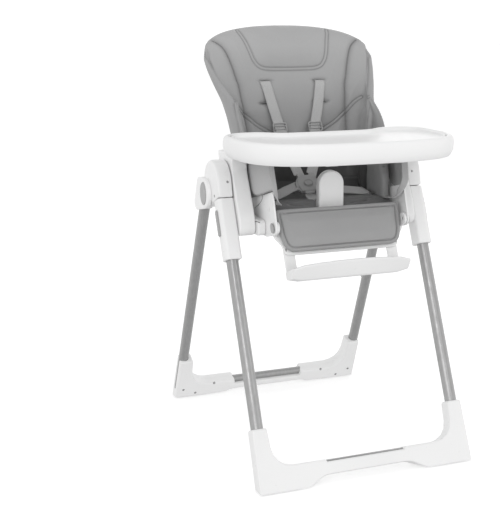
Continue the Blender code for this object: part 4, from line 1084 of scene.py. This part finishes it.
def sheet_between(name, lower, upper, body, material, thickness=0.0016, bow=0.0, seed=0.0):
    """A double-sided cloth panel between two routes, bowing out along its own normal."""
    a, b = (resampled(route(line, 0.002), count=SHEET_COLUMNS) for line in (lower, upper))
    bm = bmesh.new()
    normal = (a[SHEET_COLUMNS // 2] - a[0]).cross(b[0] - a[0]).normalized()
    lines = []
    for r in range(SHEET_ROWS + 1):
        share = r / SHEET_ROWS
        belly = bow * math.sin(math.pi * share)
        line = [p.lerp(q, share) for p, q in zip(a, b)]
        lines.append([p + normal * (belly + 0.0012 * noise.noise(p * 30.0 + Vector((seed, 0, 0)))) for p in line])
    fronts, backs = ([[bm.verts.new(p + normal * half) for p in line] for line in lines]
                     for half in (thickness / 2, -thickness / 2))
    for grid in (fronts, backs):
        for low, high in zip(grid, grid[1:]):
            for k in range(SHEET_COLUMNS - 1):
                bm.faces.new((low[k], low[k + 1], high[k + 1], high[k]))
    front, back = ([*grid[0], *(row[-1] for row in grid[1:]), *grid[-1][-2::-1],
                    *(row[0] for row in grid[-2:0:-1])] for grid in (fronts, backs))
    for k in range(len(front)):
        bm.faces.new((front[k - 1], front[k], back[k], back[k - 1]))
    return new_piece(name, bm, material, body)


def make_side_covers():
    """The cover's flap outside each side cushion, wrapping in at the front, and the bound strip down its edge, in
    a lighter copy of the leatherette that paints light on them.
    """
    lower = [(0.1925, -0.046, 0.737), (0.1925, -0.068, 0.7015), (0.1925, -0.082, 0.680), (0.1925, -0.097, 0.670),
             (0.1915, -0.122, 0.6664), (0.189, -0.148, 0.672), (0.181, -0.182, 0.684), (0.1745, -0.200, 0.690)]
    upper = [(0.1925, -0.046, 0.757), (0.1925, -0.066, 0.7575), (0.1925, -0.082, 0.758), (0.1925, -0.100, 0.758),
             (0.1915, -0.122, 0.758), (0.1885, -0.148, 0.758), (0.1825, -0.172, 0.757), (0.1790, -0.186, 0.756)]
    edge = [(0.178, -0.186, 0.752), (0.1768, -0.195, 0.720), (0.1735, -0.201, 0.690), (0.1625, -0.1925, 0.664),
            (0.156, -0.179, 0.650), (0.154, -0.160, 0.645), (0.156, -0.130, 0.642)]
    for name, side in SIDES.items():
        low, high, down = (mirrored(line, side) for line in (lower, upper, edge))
        sheet_between(f"side_flap_{name}", low, high, "seat", EDGE_BAND_PAINTED_LIGHT, seed=side)
        bm = bmesh.new()
        add_tube(bm, route(low, 0.003), 0.0015)
        new_piece(f"side_hem_{name}", bm, BINDING, "seat")
        facing = ((side * -0.30, -0.90, 0.30), (0.0, -0.25, 0.97))
        strap(f"side_edge_{name}", down, facing, "seat", width=0.0150, material=EDGE_BAND_PAINTED_LIGHT)


def make_lumbar_cloth():
    """The cover's cloth between the seat pad and the foot of the back pad, near-black with painted shade."""
    lower = [(x, 0.036, 0.622) for x in (-0.184, -0.09, 0.0, 0.09, 0.184)]
    upper = [(x, 0.082 - 1.6 * x * x, 0.670) for x in (-0.184, -0.09, 0.0, 0.09, 0.184)]
    cloth = sheet_between("lumbar_cloth", lower, upper, None, INNER_PAD_PAINTED_SHADE, thickness=0.0030, bow=-0.004, seed=7.0)
    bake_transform(cloth)


def make_gussets():
    """Padded cloth that joins each wing of the back to the seat's side, with a corded front edge."""
    front = [(0.1900, 0.034, 0.880), (0.1950, -0.004, 0.846), (0.1950, -0.031, 0.816), (0.1930, -0.047, 0.786),
             (0.1905, -0.056, 0.758), (0.1880, -0.066, 0.742)]
    inner = [(0.1880, 0.038, 0.876), (0.1880, 0.014, 0.838), (0.1850, 0.006, 0.806), (0.1830, 0.006, 0.780),
             (0.1820, -0.002, 0.758), (0.1820, -0.020, 0.742)]
    for name, side in SIDES.items():
        panel = sheet_between(f"gusset_{name}", mirrored(inner, side), mirrored(front, side), None, PAD,
                              thickness=0.0060, bow=0.0030 * side, seed=4.0)
        bm = bmesh.new()
        for offset, radius in ((0.0, 0.0024), (0.0055, 0.0020)):
            aside = Vector((side * 0.0012, offset * 0.8, -offset * 0.5))
            add_tube(bm, route([Vector(p) + aside for p in mirrored(front, side)], 0.003), radius)
        piping = new_piece(f"gusset_piping_{name}", bm, BINDING, None)
        for piece in (panel, piping):
            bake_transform(piece)


# --- screws, slots and marks ---

def disc(radius_u, radius_v, count=24):
    """A closed ellipse."""
    turns = (math.tau * k / count for k in range(count))
    return [Vector((radius_u * math.cos(a), radius_v * math.sin(a))) for a in turns]


def surface_tree(item):
    mesh = item.data
    return BVHTree.FromPolygons([v.co for v in mesh.vertices], [p.vertices[:] for p in mesh.polygons])


@cache
def node_tree(node):
    return surface_tree(NODES[node])


def place_on(node, origin, direction):
    """The plane where a ray meets a CAD node, facing the ray."""
    direction = Vector(direction)
    hit, normal, _, _ = node_tree(node).ray_cast(Vector(origin), direction)
    if hit is None:
        raise RuntimeError(f"nothing of {node} from {tuple(origin)}")
    if normal.dot(direction) > 0.0:
        normal = -normal
    up = Vector((0.0, 0.0, 1.0)) if abs(normal.z) < 0.9 else Vector((0.0, 1.0, 0.0))
    right = up.cross(normal).normalized()
    return plane(hit, right, normal.cross(right))


def add_screw(heads, recess_shade, radius, place):
    """A round head with a cross in it, in a shallow recess; the recess round the head and the cross are dark
    plates of painted shade.
    """
    add_plate(recess_shade, disc(radius * 1.35, radius * 1.35), place, -0.0005, 0.00025, 0.0002)
    add_plate(heads, disc(radius, radius), place, -0.0004, 0.0008, 0.0003)
    for u, v in ((radius * 0.62, radius * 0.16), (radius * 0.16, radius * 0.62)):
        cross = [Vector(p) for p in ((-u, -v), (u, -v), (u, v), (-u, v))]
        add_plate(recess_shade, cross, place, 0.0002, 0.00092, 0.00005)


MARK_DEPTH = (-0.0006, 0.0003)
# Points along a moulded ridge of the white tub; a grey cord along them is painted shade beside the ridge.
TUB_RIDGE_SHADE = ((0.1785, -0.1251, 0.6680), (0.1785, -0.1270, 0.6600), (0.1785, -0.1174, 0.6490),
             (0.1785, -0.0967, 0.6367), (0.1785, -0.0719, 0.6265))


def make_small_hardware():
    """Screws, the slot in each seat rail, the tub's ridges and the calf board's marks, in one piece per finish;
    the dark screw recesses and rail slots and the grey cords along the tub's ridges are painted shade.
    """
    groups = {body: [bmesh.new() for _ in range(3)] for body in ("front_frame", "rear_frame", "seat", "leg_rest")}
    for name, side in SIDES.items():
        heads, recess_shade, _ = groups["front_frame"]
        for origin, direction, radius in (((side * 0.40, -0.060, 0.660), (-side, 0, 0), 0.0026),
                                          ((side * 0.10, -0.064, 0.669), (side, 0, 0), 0.0026),
                                          ((side * 0.2542, -0.40, 0.6972), (0, 1, 0), 0.0022)):
            add_screw(heads, recess_shade, radius, place_on(f"hub_housing_{name}", origin, direction))
        heads, recess_shade, _ = groups["rear_frame"]
        for x, z in ((0.2626, 0.028), (0.225, 0.012), (0.170, 0.0385)):
            add_screw(heads, recess_shade, 0.0026, place_on("rear_base_front_shell", (side * x, 0.20, z), (0, 1, 0)))
        _, recess_shade, ridge_shade = groups["seat"]
        slot = rounded_box(-0.010, -0.0008, 0.010, 0.0008, 0.0008 * 0.98, 5)
        rail = place_on(f"seat_rail_{name}", (side * 0.30, -0.142, 0.6035), (-side, 0, 0))
        # The slot in the rail is a dark plate of painted shade.
        add_plate(recess_shade, slot, rail, *MARK_DEPTH, 0.0002)
        add_tube(ridge_shade, route(mirrored(TUB_RIDGE_SHADE, side), 0.003), 0.0011)
        board = place_on("calf_board", (side * 0.1482, -0.40, 0.542), (0, 1, 0))
        add_plate(groups["leg_rest"][2], disc(0.0022, 0.0044), board, *MARK_DEPTH, 0.0002)
    for body, meshes in groups.items():
        for bm, (material, label, slot_name) in zip(meshes, ((STEEL, "screws", "zinc_steel"),
                                                             (RUBBER, "recess_shade", "dark_rubber"),
                                                             (GREY, "marks_and_ridge_shade", "grey_plastic"))):
            if len(bm.verts):
                new_piece(f"{body}_{label}", bm, material, body)
            else:
                bm.free()


# --- floor, light and camera ---

CAMERA_AZIMUTH = math.radians(-22.4)
CAMERA_ELEVATION = math.radians(11.8)
CAMERA_DISTANCE = 2.91
CAMERA_TARGET = Vector((0.0, 0.0, 0.5))
CAMERA_LENS = 79.2
CAMERA_SHIFT = (-0.120, -0.018)
# Brightness of the studio from straight down (0) to straight up (1).
STUDIO = ((0.10, 0.58), (0.44, 1.0), (0.60, 1.0), (1.0, 0.62))
STUDIO_STRENGTH = 1.12
# (name, place, diameter, watts)
LAMPS = (("key", (-2.0, -2.8, 1.9), 1.6, 22.0), ("fill", (2.4, -2.2, 0.9), 1.8, 8.0),
         ("top", (0.0, -0.3, 3.2), 1.6, 3.0), ("rear", (1.6, 2.8, 1.9), 1.8, 9.0))
LAMP_TARGET = Vector((0.0, 0.0, 0.6))
FLOOR_REACH = 40


def make_floor():
    """A sheet of pale paper under the chair."""
    mesh = bpy.data.meshes.new("floor")
    corners = [(x * FLOOR_REACH, y * FLOOR_REACH, 0.0) for x, y in ((-1, -1), (1, -1), (1, 1), (-1, 1))]
    mesh.from_pydata(corners, [], [(0, 1, 2, 3)])
    paper = Shader("paper", 0.75, Specular_IOR_Level=0.2, Emission_Color=grey(1.0), Emission_Strength=0.20)
    paper.colour(paper.mix(paper.noise(3.0), grey(0.96), grey(0.94)))
    mesh.materials.append(paper.material)
    floor = linked("floor", mesh)
    floor.visible_diffuse = False
    floor.visible_glossy = False


def make_studio():
    """A pale world that is darker above and below, and four soft round lamps."""
    world = bpy.data.worlds.new("studio")
    world.use_nodes = True
    nodes = Nodes(world.node_tree)
    direction = nodes.node("ShaderNodeTexCoord").outputs["Generated"]
    height = nodes.node("ShaderNodeSeparateXYZ", {0: direction}).outputs["Z"]
    share = nodes.node("ShaderNodeMath", {0: height, 1: 0.5, 2: 0.5}, operation="MULTIPLY_ADD").outputs[0]
    ramp = nodes.node("ShaderNodeValToRGB", {0: share})
    stops = ramp.color_ramp.elements
    for k, (position, value) in enumerate(STUDIO):
        stop = stops[k] if k < len(stops) else stops.new(position)
        stop.position = position
        stop.color = grey(value)
    background = nodes.tree.nodes["Background"]
    nodes.tree.links.new(ramp.outputs[0], background.inputs["Color"])
    background.inputs["Strength"].default_value = STUDIO_STRENGTH
    bpy.context.scene.world = world
    for name, place, size, power in LAMPS:
        light = bpy.data.lights.new(name, "AREA")
        light.shape = "DISK"
        light.size = size
        light.energy = power
        lamp = linked(name, light)
        lamp.location = place
        lamp.rotation_euler = (Vector(place) - LAMP_TARGET).to_track_quat("Z", "Y").to_euler()


def make_camera():
    flat = math.cos(CAMERA_ELEVATION)
    back = Vector((math.sin(CAMERA_AZIMUTH) * flat, -math.cos(CAMERA_AZIMUTH) * flat, math.sin(CAMERA_ELEVATION)))
    data = bpy.data.cameras.new("camera")
    data.sensor_width = 36.0
    data.sensor_fit = "HORIZONTAL"
    data.lens = CAMERA_LENS
    data.shift_x, data.shift_y = CAMERA_SHIFT
    camera = linked("camera", data)
    camera.location = CAMERA_TARGET + back * CAMERA_DISTANCE
    camera.rotation_euler = (-back).to_track_quat("-Z", "Y").to_euler()
    bpy.context.scene.camera = camera
    bpy.context.scene.view_settings.view_transform = "Standard"


make_floor()
make_studio()
make_camera()
finish_cad_nodes()
make_back_pad()
make_seat_pads()
make_leg_pad()
make_harness()
make_tray()
make_lumbar_cloth()
make_side_covers()
make_gussets()
make_small_hardware()
